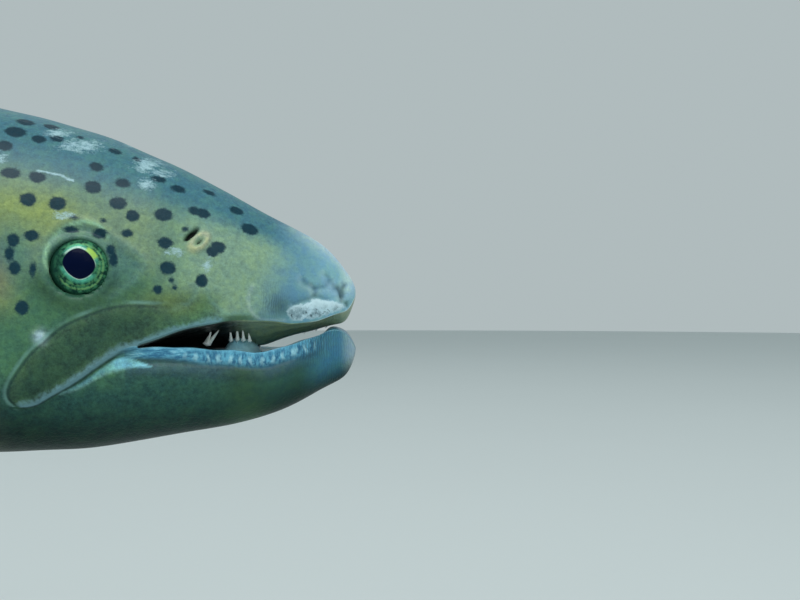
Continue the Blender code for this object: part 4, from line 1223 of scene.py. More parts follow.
def make_tongue(finish):
    """A soft pad with a shallow groove down its middle and small folds across it."""
    s = TONGUE["start"] + (TONGUE["end"] - TONGUE["start"]) * smooth_step(np.linspace(0, 1, 46))
    across = np.sin(np.linspace(-math.pi / 2, math.pi / 2, 27))
    y, low, top = tongue_sheets(s, across)
    folds = 0.22 * np.sin(s / 1.1)[:, None] * (1 - across**2) + 0.5 * np.abs(across) * (1 - across**2)
    top = top + folds * np.minimum((top - low) / 3, 1)
    loop = np.concatenate([row_points(s, y, top), row_points(s, y, low)[:, ::-1]], 1)
    front, rear = (np.broadcast_to(row.mean(1, keepdims=True), row.shape) for row in (loop[:1], loop[-1:]))
    grid = np.concatenate([front, loop, rear])
    points, faces, _ = welded(grid, grid_faces(*grid.shape[:2]))
    new_piece("trout_tongue", points, faces, finish, "mouth", ("tongue",))


# ---- fins ----------------------------------------------------------------------------------------
def midline(height, low, high, offset):
    """Five points along the back's or the belly's line, moved up by offset: a fin's root."""
    s = np.linspace(low, high, 5)
    return [(a, 0.0, b) for a, b in zip(s, height(s) + offset)]


def paired(root, margin, side):
    """A paired fin's lines for one side of the fish."""
    return [(s, side * y, z) for s, y, z in root], [(s, side * y, z) for s, y, z in margin]


PECTORAL = (((184, 36, -33), (189, 31, -43), (194, 24, -51)),
            ((262, 82, -62), (270, 77, -72), (264, 66, -80), (244, 49, -80), (217, 33, -67)))
PELVIC = (((334, 22, -70), (343, 17, -74), (352, 12, -77)),
          ((372, 50, -107), (386, 43, -113), (389, 33, -112), (382, 22, -104), (371, 15, -92)))


def fin_lines():
    """Each fin's root line, margin line, half thickness at root and margin, rays and spot spacing."""
    fins = {
        "dorsal_fin": (midline(back, 303, 384, -3), [(337, 0, 144), (345, 0, 147.5), (358, 0, 142),
                       (378, 0, 127), (398, 0, 109), (407, 0, 98)], 2.4, 0.35, 13, 9.5),
        "anal_fin": (midline(belly, 464, 528, 3), [(495, 0, -112), (504, 0, -116), (516, 0, -108),
                     (532, 0, -88), (548, 0, -66), (553, 0, -56)], 2.2, 0.35, 12, 0),
        "adipose_fin": (midline(back, 508, 524, -3), [(532, 0, 66), (540, 0, 71), (547, 0, 67),
                        (544, 0, 58), (534, 0, 48)], 2.2, 0.8, 0, 7.5),
        "caudal_fin": ([(612, 0, 31), (626, 0, 17), (631, 0, 1), (626, 0, -15), (612, 0, -28)],
                       [(711, 0, 83), (TOTAL_LENGTH, 0, 77), (716, 0, 54), (704, 0, 26), (699, 0, 1),
                        (703, 0, -24), (714, 0, -51), (719, 0, -73), (708, 0, -79)], 2.2, 0.35, 21, 8.5),
    }
    for word, side in (("right", -1), ("left", 1)):
        fins["pectoral_fin_" + word] = (*paired(*PECTORAL, side), 1.7, 0.35, 14, 0)
        fins["pelvic_fin_" + word] = (*paired(*PELVIC, side), 1.7, 0.35, 10, 0)
    return fins


def fin_shape(root, margin, root_half, edge_half, rays):
    """A closed blade: rays stand out as rounded ribs that fork in two beyond the middle of the fin.

    Across the fin the ribs are bell curves in each ray's share; outwards the blade thins evenly to its
    edge, where the skin between two rays draws in a little. A fin without rays is smooth flesh.
    """
    columns, rows = max(rays, 7) * 10 + 1, 38
    u, v = np.linspace(0, 1, columns), np.linspace(0, 1, rows)
    start, end = line(root, u), line(margin, u)
    place = (u * max(rays, 1)) % 1 - 0.5
    notch = (0.022 if rays else 0.0) * (place * 2) ** 2 * ramp(u, 0, 0.05) * ramp(u, 1, 0.95)
    reach = v[:, None] * (0.992 - notch * v[:, None] ** 6)
    grid = start[None] + (end - start)[None] * reach[..., None]
    across = unit(np.cross(np.gradient(grid, axis=0), np.gradient(grid, axis=1)))
    fork = 0.24 * ramp(v, 0.4, 0.95)[:, None]
    width = (0.2 - 0.07 * v)[:, None]
    rib = np.minimum(hill(place, fork, width) + hill(place, -fork, width), 1)
    rib = rib if rays else np.full_like(rib, 0.9)
    half = (root_half + (edge_half - root_half) * v ** 0.7)[:, None] * (0.42 + 0.58 * rib)
    half = half * ramp(u, -0.02, 0.03) * ramp(u, 1.02, 0.97) * np.sqrt(np.clip(1 - v**14, 0, 1))[:, None]
    half[[0, -1]] = 0
    ripple = (0.5 if rays else 0.0) * np.sin(u * 9 + 1) * ramp(v, 0.3, 1)[:, None]
    near = grid + across * (ripple + half)[..., None]
    far = grid + across * (ripple - half)[..., None]
    loop = np.concatenate([near, far[:, ::-1], near[:, :1]], 1)
    uu, vv = np.meshgrid(np.concatenate([u, u[::-1], u[:1]]), v)
    ribs = np.concatenate([rib, rib[:, ::-1], rib[:, :1]], 1)
    points, faces, first = welded(loop, grid_faces(*loop.shape[:2]))
    return points, faces, np.stack([uu.ravel()[first], vv.ravel()[first]], 1), ribs.ravel()[first]


def fin_spots(points, gap, seed):
    """Signed distance to round spots scattered over a fin that stands on the midline."""
    if not gap:
        return np.full(len(points), SPOT_REACH)
    draw = np.random.default_rng(seed)
    low, high = points.min(0), points.max(0)
    found = []
    for s, z in low[[0, 2]] + draw.random((600, 2)) * (high - low)[[0, 2]]:
        if all(math.hypot(s - q, z - r) > gap for q, r in found):
            found.append((s, z))
    s, z = np.transpose(found)
    radius = draw.uniform(1.3, 2.3, len(found))
    return spot_field(points * (1, 0, 1), np.column_stack([s, 0 * s, z, radius, radius]))


def make_fins(finish):
    """Eight closed blades, each in the place of its own solid."""
    for seed, (name, (root, margin, root_half, edge_half, rays, gap)) in enumerate(fin_lines().items()):
        points, faces, uv, rib = fin_shape(root, margin, root_half, edge_half, rays)
        lower = name.startswith(("anal", "pectoral", "pelvic"))
        marks = {"spot": fin_spots(points, gap, seed + 40), "rib": rib,
                 "lower": np.full(len(points), float(lower)), "fleshy": np.full(len(points), float(not rays))}
        new_piece("trout_" + name, points, faces, finish, "fin", (name,), marks, uv={"fin": uv})


# ---- finishes ------------------------------------------------------------------------------------
def skin_finish(look, name, coat):
    """Wet skin: painted colours, fine mottling, dark spots with frayed edges and a thin film of slime."""
    f = Finish(name, ior=1.4, specular_ior_level=0.14, coat_roughness=0.24)
    fine, coarse, speck = f.noise(0.0011, 4, 0.6), f.noise(0.0052, 3, 0.55), f.noise(0.0004, 2, 0.6)
    patches = f.noise(0.0023, 4, 0.62)
    strength = 0.8 if coat else f.attribute("grain")
    mottling = (fine - 0.5) * 1.2 + (patches - 0.5) * 1.1 + (coarse - 0.5) * 0.6 + (speck - 0.5) * 0.8
    tone = f.node("ShaderNodeVectorMath", {"operation": "SCALE"},
                  {0: f.attribute("paint", "Color"), "Scale": 1 + mottling * strength})["Vector"]
    warm = f.mix(1.0, tone, (1.07, 1.045, 0.9), "MULTIPLY")
    cool = f.mix(1.0, tone, (0.94, 0.975, 1.05), "MULTIPLY")
    tone = f.mix((patches * 0.6 + coarse * 0.4).between(0.38, 0.62), cool, warm)
    tone = f.mix((coarse - 0.45) * strength * 0.5, tone, look.mottle)
    if coat:
        # each scale gets a painted silver glint, and painted shade towards its free edge
        glint = f.mix((f.attribute("chance") - 0.5) * 0.4 + 0.15, (0, 0, 0), look.silver)
        tone = f.mix(0.12, tone, glint, "ADD")
        tone = f.mix(f.attribute("rim") * 0.22, tone, f.mix(0.75, tone, look.dark_line))
    else:
        tone = head_lines(f, look, tone, fine)
    frayed = f.attribute("spot") + (fine - 0.5) * 0.9 + (speck - 0.5) * 0.4
    dark = f.mix((fine - 0.3).between(0, 1), look.spot, tuple(v * 1.7 for v in look.spot))
    tone = f.mix(frayed.between(0.5, -0.35) * 0.98, tone, dark)
    if coat:
        f.set(Base_Color=tone, Roughness=0.4 + (fine - 0.5) * 0.2, Coat_Weight=0.22)
        f.bump(f.noise(0.0004, 1, 0.5, stretch=(0.35, 1, 1)), 0.00006)
        return f.material
    scraped = f.noise(0.0017, 5, 0.8, stretch=(0.55, 1, 1.5))
    scarred = f.attribute("scar") * 0.8 + (scraped - 0.5) * 2.1 + (speck - 0.5) * 0.6
    scarred = scarred.between(0.36, 0.95) * f.attribute("scar").between(0.05, 0.4)
    wet, pit = f.attribute("wet"), f.attribute("pit") + (fine - 0.5) * 0.4
    # the nostrils' slits painted near black: painted shade in the pits
    tone = f.over(tone, (scarred * 0.75, look.scar), (pit.between(0.3, -0.25), (0.003, 0.008, 0.007)))
    f.set(Base_Color=tone, Roughness=0.46 + (fine - 0.5) * 0.22 - wet * 0.14,
          Coat_Weight=wet * 0.3 + f.attribute("slick") * 0.16)
    creases = fine_folds(f) * f.attribute("creased")
    grained = f.cells(0.0009) * 0.3 + fine * 0.8 + speck * 0.35 + coarse * 0.6
    f.bump(grained + creases * 0.35 + scarred * 0.25, 0.00024)
    return f.material


def fine_folds(f):
    """Narrow upright folds that wander a little, as a wave from -1 to 1."""
    return f.math("SINE", f.axes(f.place)["X"] * 9500 + f.noise(0.003, 2, 0.5) * 16)


def head_lines(f, look, tone, fine):
    """The head's fine lines from signed distances: the jaw plate's edge with a painted highlight above its
    crease and painted shade in it, painted shade along the lip's edge, behind the gill cover's edge, below
    the gum and in the fine folds, the gum's beads and lip specks.
    """
    plate, edge = f.attribute("plate") + (fine - 0.5) * 0.5, f.attribute("lower_edge")
    patchy = f.noise(0.008, 2, 0.5).between(0.3, 0.6)
    away = abs(edge).between(1.2, 3.0) * f.attribute("hem")
    inside = f.math("MAXIMUM", plate.between(-0.5, 0.4), f.attribute("upper"))
    ragged = edge + (fine - 0.5) * 2.0 + (f.noise(0.003, 3, 0.6) - 0.5) * 2.2
    gill = f.attribute("gill") + (fine - 0.5) * 0.5
    tone = f.over(
        tone,
        # painted highlight above the jaw plate's upper crease, then painted shade in the crease
        (abs(plate + 0.9).between(0.9, 0.0) * away * (patchy * 0.6 + 0.05), look.ridge_highlight_and_pale_edge),
        (abs(plate - 0.1).between(0.8, 0.0) * away * 0.55, look.dark_line),
        (ragged.between(-2.5, -0.5) * inside * 0.75, look.lip_band),
        # painted shade along the lip's edge
        (abs(edge - 0.3).between(0.6, 0.0) * abs(plate).between(1.2, 0.5) * 0.6, look.dark_line),
        # the gill cover's pale edge, then painted shade just behind it
        (abs(gill + 0.8).between(1.0, 0.2) * 0.4, look.ridge_highlight_and_pale_edge),
        (abs(gill - 1.0).between(1.5, 0.3) * 0.85, look.dark_line))
    place = f.axes(f.place)
    x, gummed, under = place["X"], f.attribute("gummed"), f.attribute("under")
    wander = (f.noise(0.005, 2, 0.5) - 0.5) * 7
    beads = (SNOUT_X * MM - x) * (2 * math.pi / (BEAD_LENGTH * MM)) + wander + (fine - 0.5) * 3.0
    white = f.math("COSINE", beads).between(0.0, 1.0) * abs(under - 2.6).between(1.7, 0.3)
    upright = f.noise(0.0016, 4, 0.7, stretch=(1.5, 1, 0.6))
    level = f.noise(0.0016, 4, 0.7, stretch=(0.22, 1, 1.7))
    behind = x.between(world_x(38), world_x(50))
    streaks = upright + (level - upright) * behind
    gum = f.over(
        f.mix(streaks.between(0.38, 0.64), look.gum_dark, look.gum),
        (streaks.between(0.55, 0.7) * behind * 0.7, look.pale_gum),
        (white * (upright + 0.3) * x.between(world_x(52), world_x(42)) * 0.85, look.pale_gum),
        (under.between(1.4, 0.2) * 0.35, look.gum))
    gum_edge = under + (fine - 0.5) * 1.0 + (streaks - 0.5) * 1.6
    blotch = f.noise(0.0026, 4, 0.7)
    patch = f.attribute("lip_patch") + (blotch - 0.5) * 2.6 + (fine - 0.5) * 1.1
    lower = place["Z"].between(world_z(-2.4), world_z(-4.7))
    specks = f.noise(0.0012, 3, 0.7).between(0.58, 0.66) * patch.between(0.2, 0.9)
    return f.over(
        tone,
        (gum_edge.between(5.6, 3.2) * gummed * 0.95, gum),
        # painted shade in the crease below the gum
        (abs(gum_edge - 4.9).between(1.1, 0.1) * gummed * 0.3, look.dark_line),
        (patch.between(-0.3, 0.7) * (0.97 - lower * 0.3), look.white_lip),
        (patch.between(0.0, 0.8) * blotch.between(0.4, 0.64) * (lower * 0.6 + 0.08), look.lip_fold),
        (specks * (lower * 0.75 + 0.05), look.dark_line),
        # painted shade in the fine folds
        (fine_folds(f).between(0, 1) * f.attribute("creased") * 0.28, look.dark_line))


def eye_finish(look):
    """A black pupil with soft corners, a broken silver ring round it and a green iris with golden arcs, with
    painted shade round the eyeball's edge and on its rear side.
    """
    f = Finish("trout_eye", roughness=0.4, specular_ior_level=0.03, coat_weight=0.04, coat_roughness=0.04)
    share = f.axes(f.node("ShaderNodeUVMap", {"uv_map": "iris"})["UV"])
    x, y = (share["X"] - 0.5) * IRIS_SPAN, (share["Y"] - 0.5) * IRIS_SPAN
    power = look.pupil_roundness
    px = abs((x + 0.4) / (look.pupil_length / 2))
    py = abs((y - 0.14 + x * 0.12) / (look.pupil_height / 2))
    pupil = (px**power + py**power) ** (1 / power)
    streak, flake = f.noise(0.0013, 4, 0.65), f.noise(0.00032, 3, 0.7)
    radius = ((x + 0.1) ** 2 + (y + 0.4) ** 2) ** 0.5

    def arc(middle, width, soft=0.05):
        return abs(radius + (streak - 0.5) * 0.7 - middle).between(width, soft)

    low, right = (0 - y - abs(x + 1) * 0.25).between(1.0, 4.6), (x - abs(y) * 0.4).between(1.6, 4.0)
    high = (y - abs(x) * 0.3).between(1.5, 4.0)
    arcs = ((arc(6.2, 0.4) + arc(5.3, 0.35) * 0.4) * low + (arc(6.0, 0.4) + arc(5.1, 0.4) * 0.6) * right * 0.8
            + arc(6.0, 0.5, 0.1) * high * 0.5)
    lit = (y + x * 0.3).between(0.9, 2.6) + (0 - y - x * 0.25).between(1.2, 2.8)
    gold = (abs(y - x - 0.2).between(3.2, 1.7) * (x + y).between(3.2, 4.6)
            * (pupil + (streak - 0.5) * 0.3).between(1.44, 1.28))
    ring = pupil + (flake - 0.5) * 0.03
    bright = (lit * (streak * 1.3 + 0.1) + (x - abs(y)).between(2.4, 4.0) * 0.4) * (1 - gold * 0.8)
    outer = 1.05 + (y - x * 0.4).between(0.5, 3.5) * 0.09
    tone = f.over(
        f.mix(streak.between(0.38, 0.62), look.iris_outer, look.iris_middle),
        # painted shade on the eyeball's rear side
        ((0 - x - abs(y) * 0.3).between(2.6, 5.0) * 0.65, look.iris_outer),
        (arcs * streak.between(0.3, 0.55) * (flake * 0.7 + 0.45), look.iris_gold),
        (pupil.between(1.4, 1.1) * lit * (streak + 0.1) * 1.2, look.iris_inner),
        (gold * (flake * 0.4 + 0.75), look.iris_patch),
        ((ring - outer).between(0.04, -0.04) * bright, look.pupil_ring),
        # painted shade round the eyeball's edge, under the lid
        ((radius + (streak - 0.5) * 0.5).between(6.7, 7.5) * 0.9, look.iris_rim_shade),
        (pupil.between(1.04, 0.97), (0.0, 0.003, 0.022)))
    f.set(Base_Color=tone, Metallic=pupil.between(0.97, 1.1) * radius.between(7.2, 6.4) * 0.2)
    f.bump((streak + flake * 0.3) * pupil.between(1.0, 1.2), 0.00012)
    return f.material


def fin_finish(look):
    """Olive fins with paler rays, jointed ribs, dark spots above and pale leading edges below."""
    f = Finish("trout_fin", ior=1.4, coat_weight=0.3, coat_roughness=0.25)
    share = f.axes(f.node("ShaderNodeUVMap", {"uv_map": "fin"})["UV"])
    u, v = share["X"], share["Y"]
    rib, lower, fleshy = f.attribute("rib"), f.attribute("lower"), f.attribute("fleshy")
    cloud, fine = f.noise(0.009, 3, 0.55), f.noise(0.0009, 3, 0.6)
    frayed = f.attribute("spot") + (fine - 0.5) * 1.4
    tone = f.over(
        f.mix(lower, look.fin_web, look.lower_fin_web),
        (rib * 0.75, f.mix(lower, look.fin_ray, look.lower_fin_ray)),
        ((cloud - 0.5) * 0.9 + 0.25, look.fin_dark),
        (v.between(0.22, 0.0) * 0.8, f.mix(lower, look.fin_web, look.silver)),
        (v.between(0.9, 1.0) * 0.45, look.fin_dark),
        (u.between(0.08, 0.02) * lower * 0.8, look.fin_edge),
        (frayed.between(0.5, -0.4) * 0.9, look.spot),
        ((fine - 0.5) * 0.5 + 0.15, look.fin_dark))
    f.set(Base_Color=tone, Roughness=0.42 + (fine - 0.5) * 0.2)
    joints = f.math("SINE", v * 260) * rib * v.between(0.25, 0.5) * (1 - fleshy)
    f.bump(joints * 0.4 + fine * 0.6 + f.math("SINE", u * 900) * fleshy * 0.3, 0.00014)
    return f.material


def tooth_finish(look):
    """Ivory teeth, stained towards their feet."""
    f = Finish("trout_tooth", ior=1.5, coat_weight=0.6, coat_roughness=0.1)
    stain = f.noise(0.0016, 2, 0.5)
    tone = f.mix(stain.between(0.35, 0.75), look.tooth, look.tooth_root)
    f.set(Base_Color=tone, Roughness=0.24 + stain * 0.15)
    f.bump(f.noise(0.0003, 2, 0.5), 0.00002)
    return f.material


def tongue_finish(look):
    """A pale, wet tongue with painted shade behind its tip."""
    f = Finish("trout_tongue", specular_ior_level=0.15, coat_weight=0.12, coat_roughness=0.25)
    cloud, fine = f.noise(0.004, 3, 0.55), f.noise(0.0006, 3, 0.6)
    # behind_tip: where painted shade in the throat's colour is laid
    behind_tip = f.axes(f.place)["X"].between(world_x(36.5), world_x(39))
    tone = f.mix(cloud.between(0.35, 0.7) * 0.5, look.tongue, look.gum)
    f.set(Base_Color=f.mix((fine - 0.4) * 0.4 + behind_tip * 0.95, tone, look.throat),
          Roughness=0.3 + fine * 0.15)
    f.bump(fine + f.cells(0.0007) * 0.5, 0.00016)
    return f.material


def wood_finish(settings):
    """Dark oiled wood: long rings drawn out along the board, pores and a satin finish."""
    f = Finish("stand_wood", ior=1.5, coat_roughness=0.3)
    warp = f.noise(0.02, 2, 0.5, stretch=(0.12, 1, 1))
    rings = f.node("ShaderNodeTexWave", {"wave_type": "BANDS", "bands_direction": "Y"}, {
        "Vector": f.place, "Scale": 18.0, "Distortion": 4.0, "Detail": 3.0, "Detail Scale": 0.9,
        "Detail Roughness": 0.6})["Fac"]
    pores = f.noise(0.0007, 3, 0.7, stretch=(0.06, 1, 1))
    tone = f.mix(rings * 0.6 + warp * 0.4, settings.wood_dark, settings.wood_light)
    tone = f.mix(pores.between(0.6, 0.72) * 0.6, tone, tuple(v * 0.4 for v in settings.wood_dark))
    f.set(Base_Color=tone, Roughness=0.38 + pores * 0.25, Coat_Weight=0.25 + warp * 0.1)
    f.bump(pores * -0.6 + rings * 0.3, 0.00012)
    return f.material


def steel_finish(settings):
    """Brushed steel: fine lines drawn round the rod and a few rubbed places."""
    f = Finish("stand_steel", metallic=1.0)
    brushed = f.noise(0.0006, 3, 0.6, stretch=(0.3, 0.3, 3.0))
    rubbed = f.noise(0.012, 3, 0.5)
    tone = f.mix(rubbed * 0.4, settings.steel, tuple(v * 0.8 for v in settings.steel))
    f.set(Base_Color=tone, Roughness=0.24 + brushed * 0.16 + rubbed * 0.06)
    f.bump(brushed, 0.00002)
    return f.material


# ---- settings ------------------------------------------------------------------------------------
def colour(name, description, *shade):
    """A colour setting whose default is given as a display colour, 0 to 255."""
    return bpy.props.FloatVectorProperty(name=name, description=description, subtype="COLOR", size=3,
                                         min=0.0, max=1.0, default=tint(*shade))


def number(name, description, default, low, high, **more):
    """A number setting with its default and limits."""
    return bpy.props.FloatProperty(name=name, description=description, default=default,
                                   min=low, max=high, **more)


class TroutLook(bpy.types.PropertyGroup):
    """Colours and markings of the fish."""
    back: colour("Back", "Slate colour of the crown and back", 64, 115, 130)
    flank: colour("Flank", "Olive colour above the lateral line", 150, 160, 130)
    stripe: colour("Stripe", "Rose colour of the lateral stripe", 190, 120, 110)
    silver: colour("Silver", "Colour below the lateral line", 190, 196, 186)
    belly: colour("Belly", "Colour of the belly", 205, 205, 190)
    cheek: colour("Cheek", "Deep green of the cheek", 70, 114, 88)
    olive: colour("Olive", "Olive yellow over and before the eye", 138, 156, 96)
    brow: colour("Brow", "Grey green between the eye and the nostrils", 120, 146, 118)
    bronze: colour("Bronze", "Olive bronze before the mouth's plate", 98, 118, 76)
    shade: colour("Shade", "Dark green below the eye and before the mouth's plate", 52, 84, 60)
    muzzle: colour("Muzzle", "Pale green of the muzzle", 128, 160, 136)
    snout: colour("Snout", "Blue grey of the snout", 100, 148, 168)
    socket: colour("Socket", "Skin inside the eye socket", 74, 118, 112)
    # painted shade where the skin closes on the eyeball
    eye_rim_shade: colour("Eye rim", "Dark skin that closes on the eyeball", 48, 94, 72)
    # painted highlight on the ridge round the upper lid
    lid_highlight: colour("Lid", "Pale line round the upper lid", 146, 190, 160)
    white_lip: colour("Front lip", "Pale patch of the front upper lip", 198, 226, 234)
    jaw: colour("Lower jaw", "Dark green of the lower jaw", 48, 88, 80)
    # painted shade on the underside of the lower jaw
    jaw_under_shade: colour("Under the jaw", "Underside of the lower jaw", 6, 38, 33)
    hook: colour("Hook", "Tip of the lower jaw", 64, 124, 150)
    lip_fold: colour("Lip fold", "Soft fold below the gum", 70, 102, 112)
    gum: colour("Gum", "Blue gum of the lower lip", 102, 178, 206)
    pale_gum: colour("Gum edge", "Pale edge of the gum", 168, 222, 234)
    maxilla: colour("Maxilla", "Olive brown of the upper jaw's plate", 60, 90, 70)
    maxilla_dark: colour("Maxilla centre", "Darker middle of the upper jaw's plate", 43, 76, 62)
    lip_band: colour("Lip band", "Lilac edge of the upper jaw's plate", 112, 154, 166)
    membrane: colour("Membrane", "Pale skin in the mouth's corner", 146, 220, 238)
    # painted shade in the creases; the same colour also darkens the nape's back, the scales' free edges and
    # the lip's specks
    dark_line: colour("Creases", "Dark line in the creases", 18, 44, 50)
    # painted highlight along ridges and folds; the same colour gives the pale edges of the gill cover and of
    # the corner skin
    ridge_highlight_and_pale_edge: colour("Ridges", "Pale line on the ridges", 114, 158, 150)
    palate: colour("Palate", "Roof of the mouth", 124, 144, 118)
    mouth_floor: colour("Mouth floor", "Floor of the mouth", 78, 132, 156)
    # painted shade deep inside the mouth
    throat: colour("Throat", "Dark inside of the mouth", 25, 30, 30)
    tongue: colour("Tongue", "Pale grey of the tongue's tip", 190, 238, 246)
    # painted highlight on the snout's front edge, on its fold and above its wrinkles, and on the hook's front
    # edge
    snout_highlight: colour("Snout rim", "Pale skin on the snout's front edge", 198, 218, 226)
    tooth: colour("Teeth", "Tips of the teeth", 250, 252, 248)
    tooth_root: colour("Tooth roots", "Feet of the teeth", 232, 240, 230)
    spot: colour("Spots", "Blue black of the spots", 8, 48, 62)
    mottle: colour("Mottling", "Dark olive clouds in the skin", 56, 82, 58)
    scar: colour("Scuffs", "Pale rubbed places", 176, 212, 220)
    nostril: colour("Nostril", "Pale rim of the nostrils", 186, 192, 156)
    # dark streaks of the gum; the same colour is laid as painted shade between the gum and the hook
    gum_dark: colour("Gum shade", "Dark streaks of the gum", 44, 108, 144)
    fin_web: colour("Fin skin", "Skin between the rays of the upper fins", 104, 112, 78)
    fin_ray: colour("Fin rays", "Rays of the upper fins", 140, 140, 100)
    fin_dark: colour("Fin clouding", "Dark clouds and edges of the fins", 62, 66, 52)
    lower_fin_web: colour("Lower fin skin", "Skin between the rays of the lower fins", 146, 148, 126)
    lower_fin_ray: colour("Lower fin rays", "Rays of the lower fins", 186, 178, 152)
    fin_edge: colour("Fin leading edge", "Pale leading edge of the lower fins", 216, 208, 192)
    pupil_ring: colour("Pupil ring", "Silver ring round the pupil", 196, 222, 208)
    iris_inner: colour("Inner iris", "Iris beside the pupil", 92, 190, 160)
    iris_middle: colour("Middle iris", "Green of the iris", 68, 134, 96)
    iris_gold: colour("Arcs of the iris", "Bright arcs of the iris", 126, 180, 116)
    iris_patch: colour("Patch of the iris", "Yellow green patch above the pupil", 160, 200, 90)
    # dark green of the iris; the same colour is laid as painted shade on its rear side
    iris_outer: colour("Shade of the iris", "Dark green of the iris", 20, 58, 50)
    # painted shade round the eyeball's edge
    iris_rim_shade: colour("Iris rim", "Dark rim of the eyeball", 22, 58, 46)
    spot_size: number("Spot size", "Middle radius of the body's spots, in millimetres", 2.4, 0.5, 6.0)
    scale_lift: number("Scale lift", "How far a scale's free edge stands out, as a share", 1.0, 0.2, 1.1)
    scales_along: bpy.props.IntProperty(name="Scales along", default=122, min=60, max=160,
                                        description="Scales in a row from the gill cover to the tail")
    scales_round: bpy.props.IntProperty(name="Scale rows", default=72, min=30, max=90,
                                        description="Rows of scales from belly to back on one side")
    pupil_length: number("Pupil length", "Length of the pupil, in millimetres", 8.5, 4.0, 12.0)
    pupil_height: number("Pupil height", "Height of the pupil, in millimetres", 8.4, 4.0, 12.0)
    pupil_roundness: number("Pupil shape", "1 is a diamond and 2 an ellipse", 1.7, 1.0, 3.0)


class StandLook(bpy.types.PropertyGroup):
    """Colours of the display stand."""
    wood_dark: colour("Dark wood", "Dark rings of the base", 58, 36, 24)
    wood_light: colour("Light wood", "Pale wood between the rings", 122, 82, 54)
    steel: colour("Steel", "The rods", 196, 198, 200)


class StudioLook(bpy.types.PropertyGroup):
    """Camera, floor and lights."""
    camera: bpy.props.FloatVectorProperty(name="Camera", description="Place of the camera", subtype="XYZ",
                                          unit="LENGTH", default=(0.3032, -0.300, 0.1836))
    lens: number("Lens", "Focal length on a 36 mm sensor, in millimetres", 45.0, 10.0, 200.0)
    floor: colour("Floor", "Colour of the floor", 204, 212, 212)
    surround: colour("Surround", "Colour of the studio's walls", 218, 232, 234)
    surround_light: number("Wall light", "Strength of the light from the walls", 0.62, 0.0, 2.0)
    key: number("Key light", "Power of the light above and before the head", 44.0, 0.0, 200.0, unit="POWER")
    fill: number("Fill light", "Power of the light beside the camera", 8.0, 0.0, 200.0, unit="POWER")
    rim: number("Rim light", "Power of the light behind the fish", 5.0, 0.0, 200.0, unit="POWER")


# ---- stage ---------------------------------------------------------------------------------------
def area_light(name, place, target, power):
    """A square soft light at a place, turned to a target and unseen by the camera."""
    lamp = bpy.data.lights.new(name, "AREA")
    lamp.energy = power
    lamp.size = 1.6
    thing = bpy.data.objects.new(name, lamp)
    thing.location = place
    run = np.array(target, float) - place
    lift = math.atan2(run[2], math.hypot(run[0], run[1]))
    thing.rotation_euler = (math.pi / 2 + lift, 0, math.atan2(run[1], run[0]) - math.pi / 2)
    thing.visible_camera = False
    bpy.context.scene.collection.objects.link(thing)


def make_stage(studio):
    """Camera, pale surround, a wide round floor and three soft lights."""
    scene = bpy.context.scene
    lens = bpy.data.cameras.new("camera")
    lens.lens = studio.lens
    lens.sensor_width = 36
    lens.clip_start, lens.clip_end = 0.01, 100
    camera = bpy.data.objects.new("camera", lens)
    camera.location = studio.camera
    camera.rotation_euler = (math.pi / 2, 0, 0)
    scene.collection.objects.link(camera)
    scene.camera = camera
    world = bpy.data.worlds.new("surround")
    world.use_nodes = True
    sky = world.node_tree.nodes["Background"]
    sky.inputs["Color"].default_value = (*studio.surround, 1)
    sky.inputs["Strength"].default_value = studio.surround_light
    scene.world = world
    scene.view_settings.view_transform = "Standard"
    f = Finish("studio_floor", roughness=0.7)
    f.set(Base_Color=f.mix(f.noise(0.35, 3, 0.5) * 0.25, studio.floor, tuple(v * 0.9 for v in studio.floor)))
    f.bump(f.noise(0.002, 2, 0.5), 0.00003)
    rings, spokes = 25, 97
    radius, spin = round_grid(6.0, rings, spokes)
    drop = np.zeros_like(radius)
    drop[-1] = -0.05
    points = np.stack([0.2 + radius * np.cos(spin), radius * np.sin(spin), drop], -1)
    points, faces, _ = welded(points, grid_faces(rings, spokes))
    mesh = bpy.data.meshes.new("floor")
    mesh.from_pydata(points, [], faces.tolist())
    mesh.materials.append(f.material)
    floor = bpy.data.objects.new("floor", mesh)
    scene.collection.objects.link(floor)
    area_light("key_light", (0.1, -1.3, 2.6), (0.15, 0.1, 0.0), studio.key)
    area_light("fill_light", (1.6, -1.9, 1.9), (0.2, 0.0, 0.1), studio.fill)
    area_light("rim_light", (-0.3, 1.9, 2.3), (0.1, 0.0, 0.1), studio.rim)


def dress_stand(settings):
    """Gives the stand's solids their finishes."""
    wood, steel = wood_finish(settings), steel_finish(settings)
    for name, finish in (("stand_base", wood), ("stand_rod_front", steel), ("stand_rod_rear", steel)):
        node = bpy.data.objects[name]
        for slot in node.material_slots:
            slot.material = finish


# ---- operators -----------------------------------------------------------------------------------
class TROUT_OT_stage(bpy.types.Operator):
    """Set up the camera, the floor and the lights"""
    bl_idname = "trout.stage"
    bl_label = "Stage"

    def execute(self, context):
        make_stage(context.scene.trout_studio)
        return {"FINISHED"}


class TROUT_OT_skin(bpy.types.Operator):
    """Lay one skin over the head, jaws, gill covers, trunk and tail stalk"""
    bl_idname = "trout.skin"
    bl_label = "Skin"

    def execute(self, context):
        look = context.scene.trout_look
        make_skin(look, skin_finish(look, "trout_skin", False))
        return {"FINISHED"}


class TROUT_OT_scales(bpy.types.Operator):
    """Cover both sides of the body with overlapping scales"""
    bl_idname = "trout.scales"
    bl_label = "Scales"

    def execute(self, context):
        look = context.scene.trout_look
        make_scales(look, skin_finish(look, "trout_scales", True))
        return {"FINISHED"}


class TROUT_OT_eyes(bpy.types.Operator):
    """Set the eyes in their sockets"""
    bl_idname = "trout.eyes"
    bl_label = "Eyes"

    def execute(self, context):
        make_eyes(eye_finish(context.scene.trout_look))
        return {"FINISHED"}


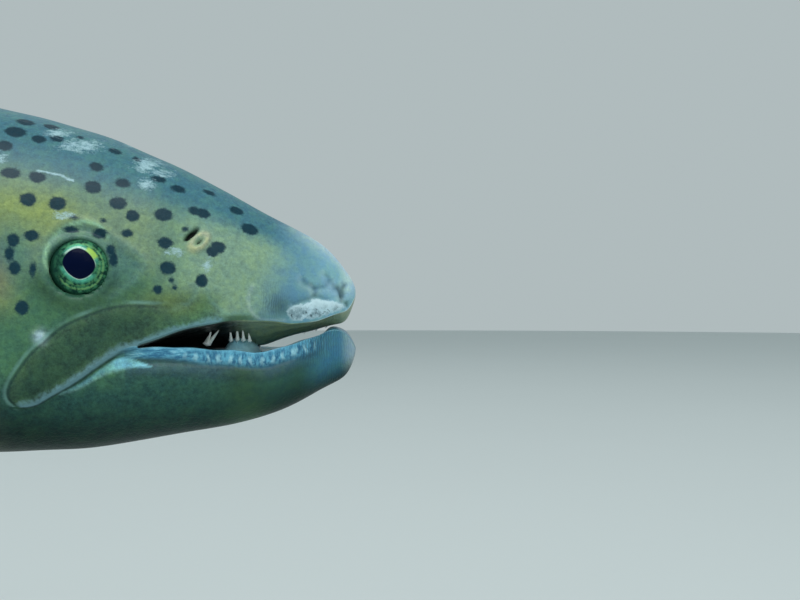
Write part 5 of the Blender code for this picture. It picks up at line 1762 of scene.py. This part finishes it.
class TROUT_OT_mouth(bpy.types.Operator):
    """Put the teeth and the tongue in the mouth"""
    bl_idname = "trout.mouth"
    bl_label = "Teeth and tongue"

    def execute(self, context):
        look = context.scene.trout_look
        make_teeth(tooth_finish(look))
        make_tongue(tongue_finish(look))
        return {"FINISHED"}


class TROUT_OT_fins(bpy.types.Operator):
    """Spread the eight fins"""
    bl_idname = "trout.fins"
    bl_label = "Fins"

    def execute(self, context):
        make_fins(fin_finish(context.scene.trout_look))
        return {"FINISHED"}


class TROUT_OT_stand(bpy.types.Operator):
    """Finish the stand's wooden base and steel rods"""
    bl_idname = "trout.stand"
    bl_label = "Stand"

    def execute(self, context):
        dress_stand(context.scene.trout_stand)
        return {"FINISHED"}


class TROUT_PT_panel(bpy.types.Panel):
    """Rainbow trout"""
    bl_idname = "TROUT_PT_panel"
    bl_label = "Rainbow trout"
    bl_space_type = "VIEW_3D"
    bl_region_type = "UI"
    bl_category = "Trout"

    def draw(self, context):
        for step in STEPS:
            self.layout.operator(step.bl_idname)
        for group in (context.scene.trout_look, context.scene.trout_stand, context.scene.trout_studio):
            box = self.layout.box()
            for key in type(group).__annotations__:
                box.prop(group, key)


GROUPS = {"trout_look": TroutLook, "trout_stand": StandLook, "trout_studio": StudioLook}
STEPS = (TROUT_OT_stage, TROUT_OT_skin, TROUT_OT_eyes, TROUT_OT_mouth, TROUT_OT_scales, TROUT_OT_fins,
         TROUT_OT_stand)


def register():
    for made in (*GROUPS.values(), *STEPS, TROUT_PT_panel):
        bpy.utils.register_class(made)
    for key, group in GROUPS.items():
        setattr(bpy.types.Scene, key, bpy.props.PointerProperty(type=group))


def unregister():
    for key in GROUPS:
        delattr(bpy.types.Scene, key)
    for made in (TROUT_PT_panel, *STEPS, *GROUPS.values()):
        bpy.utils.unregister_class(made)


def main():
    """Registers the settings and the steps, then builds the whole scene."""
    register()
    for step in STEPS:
        group, name = step.bl_idname.split(".")
        getattr(getattr(bpy.ops, group), name)()


if __name__ == "__main__":
    main()
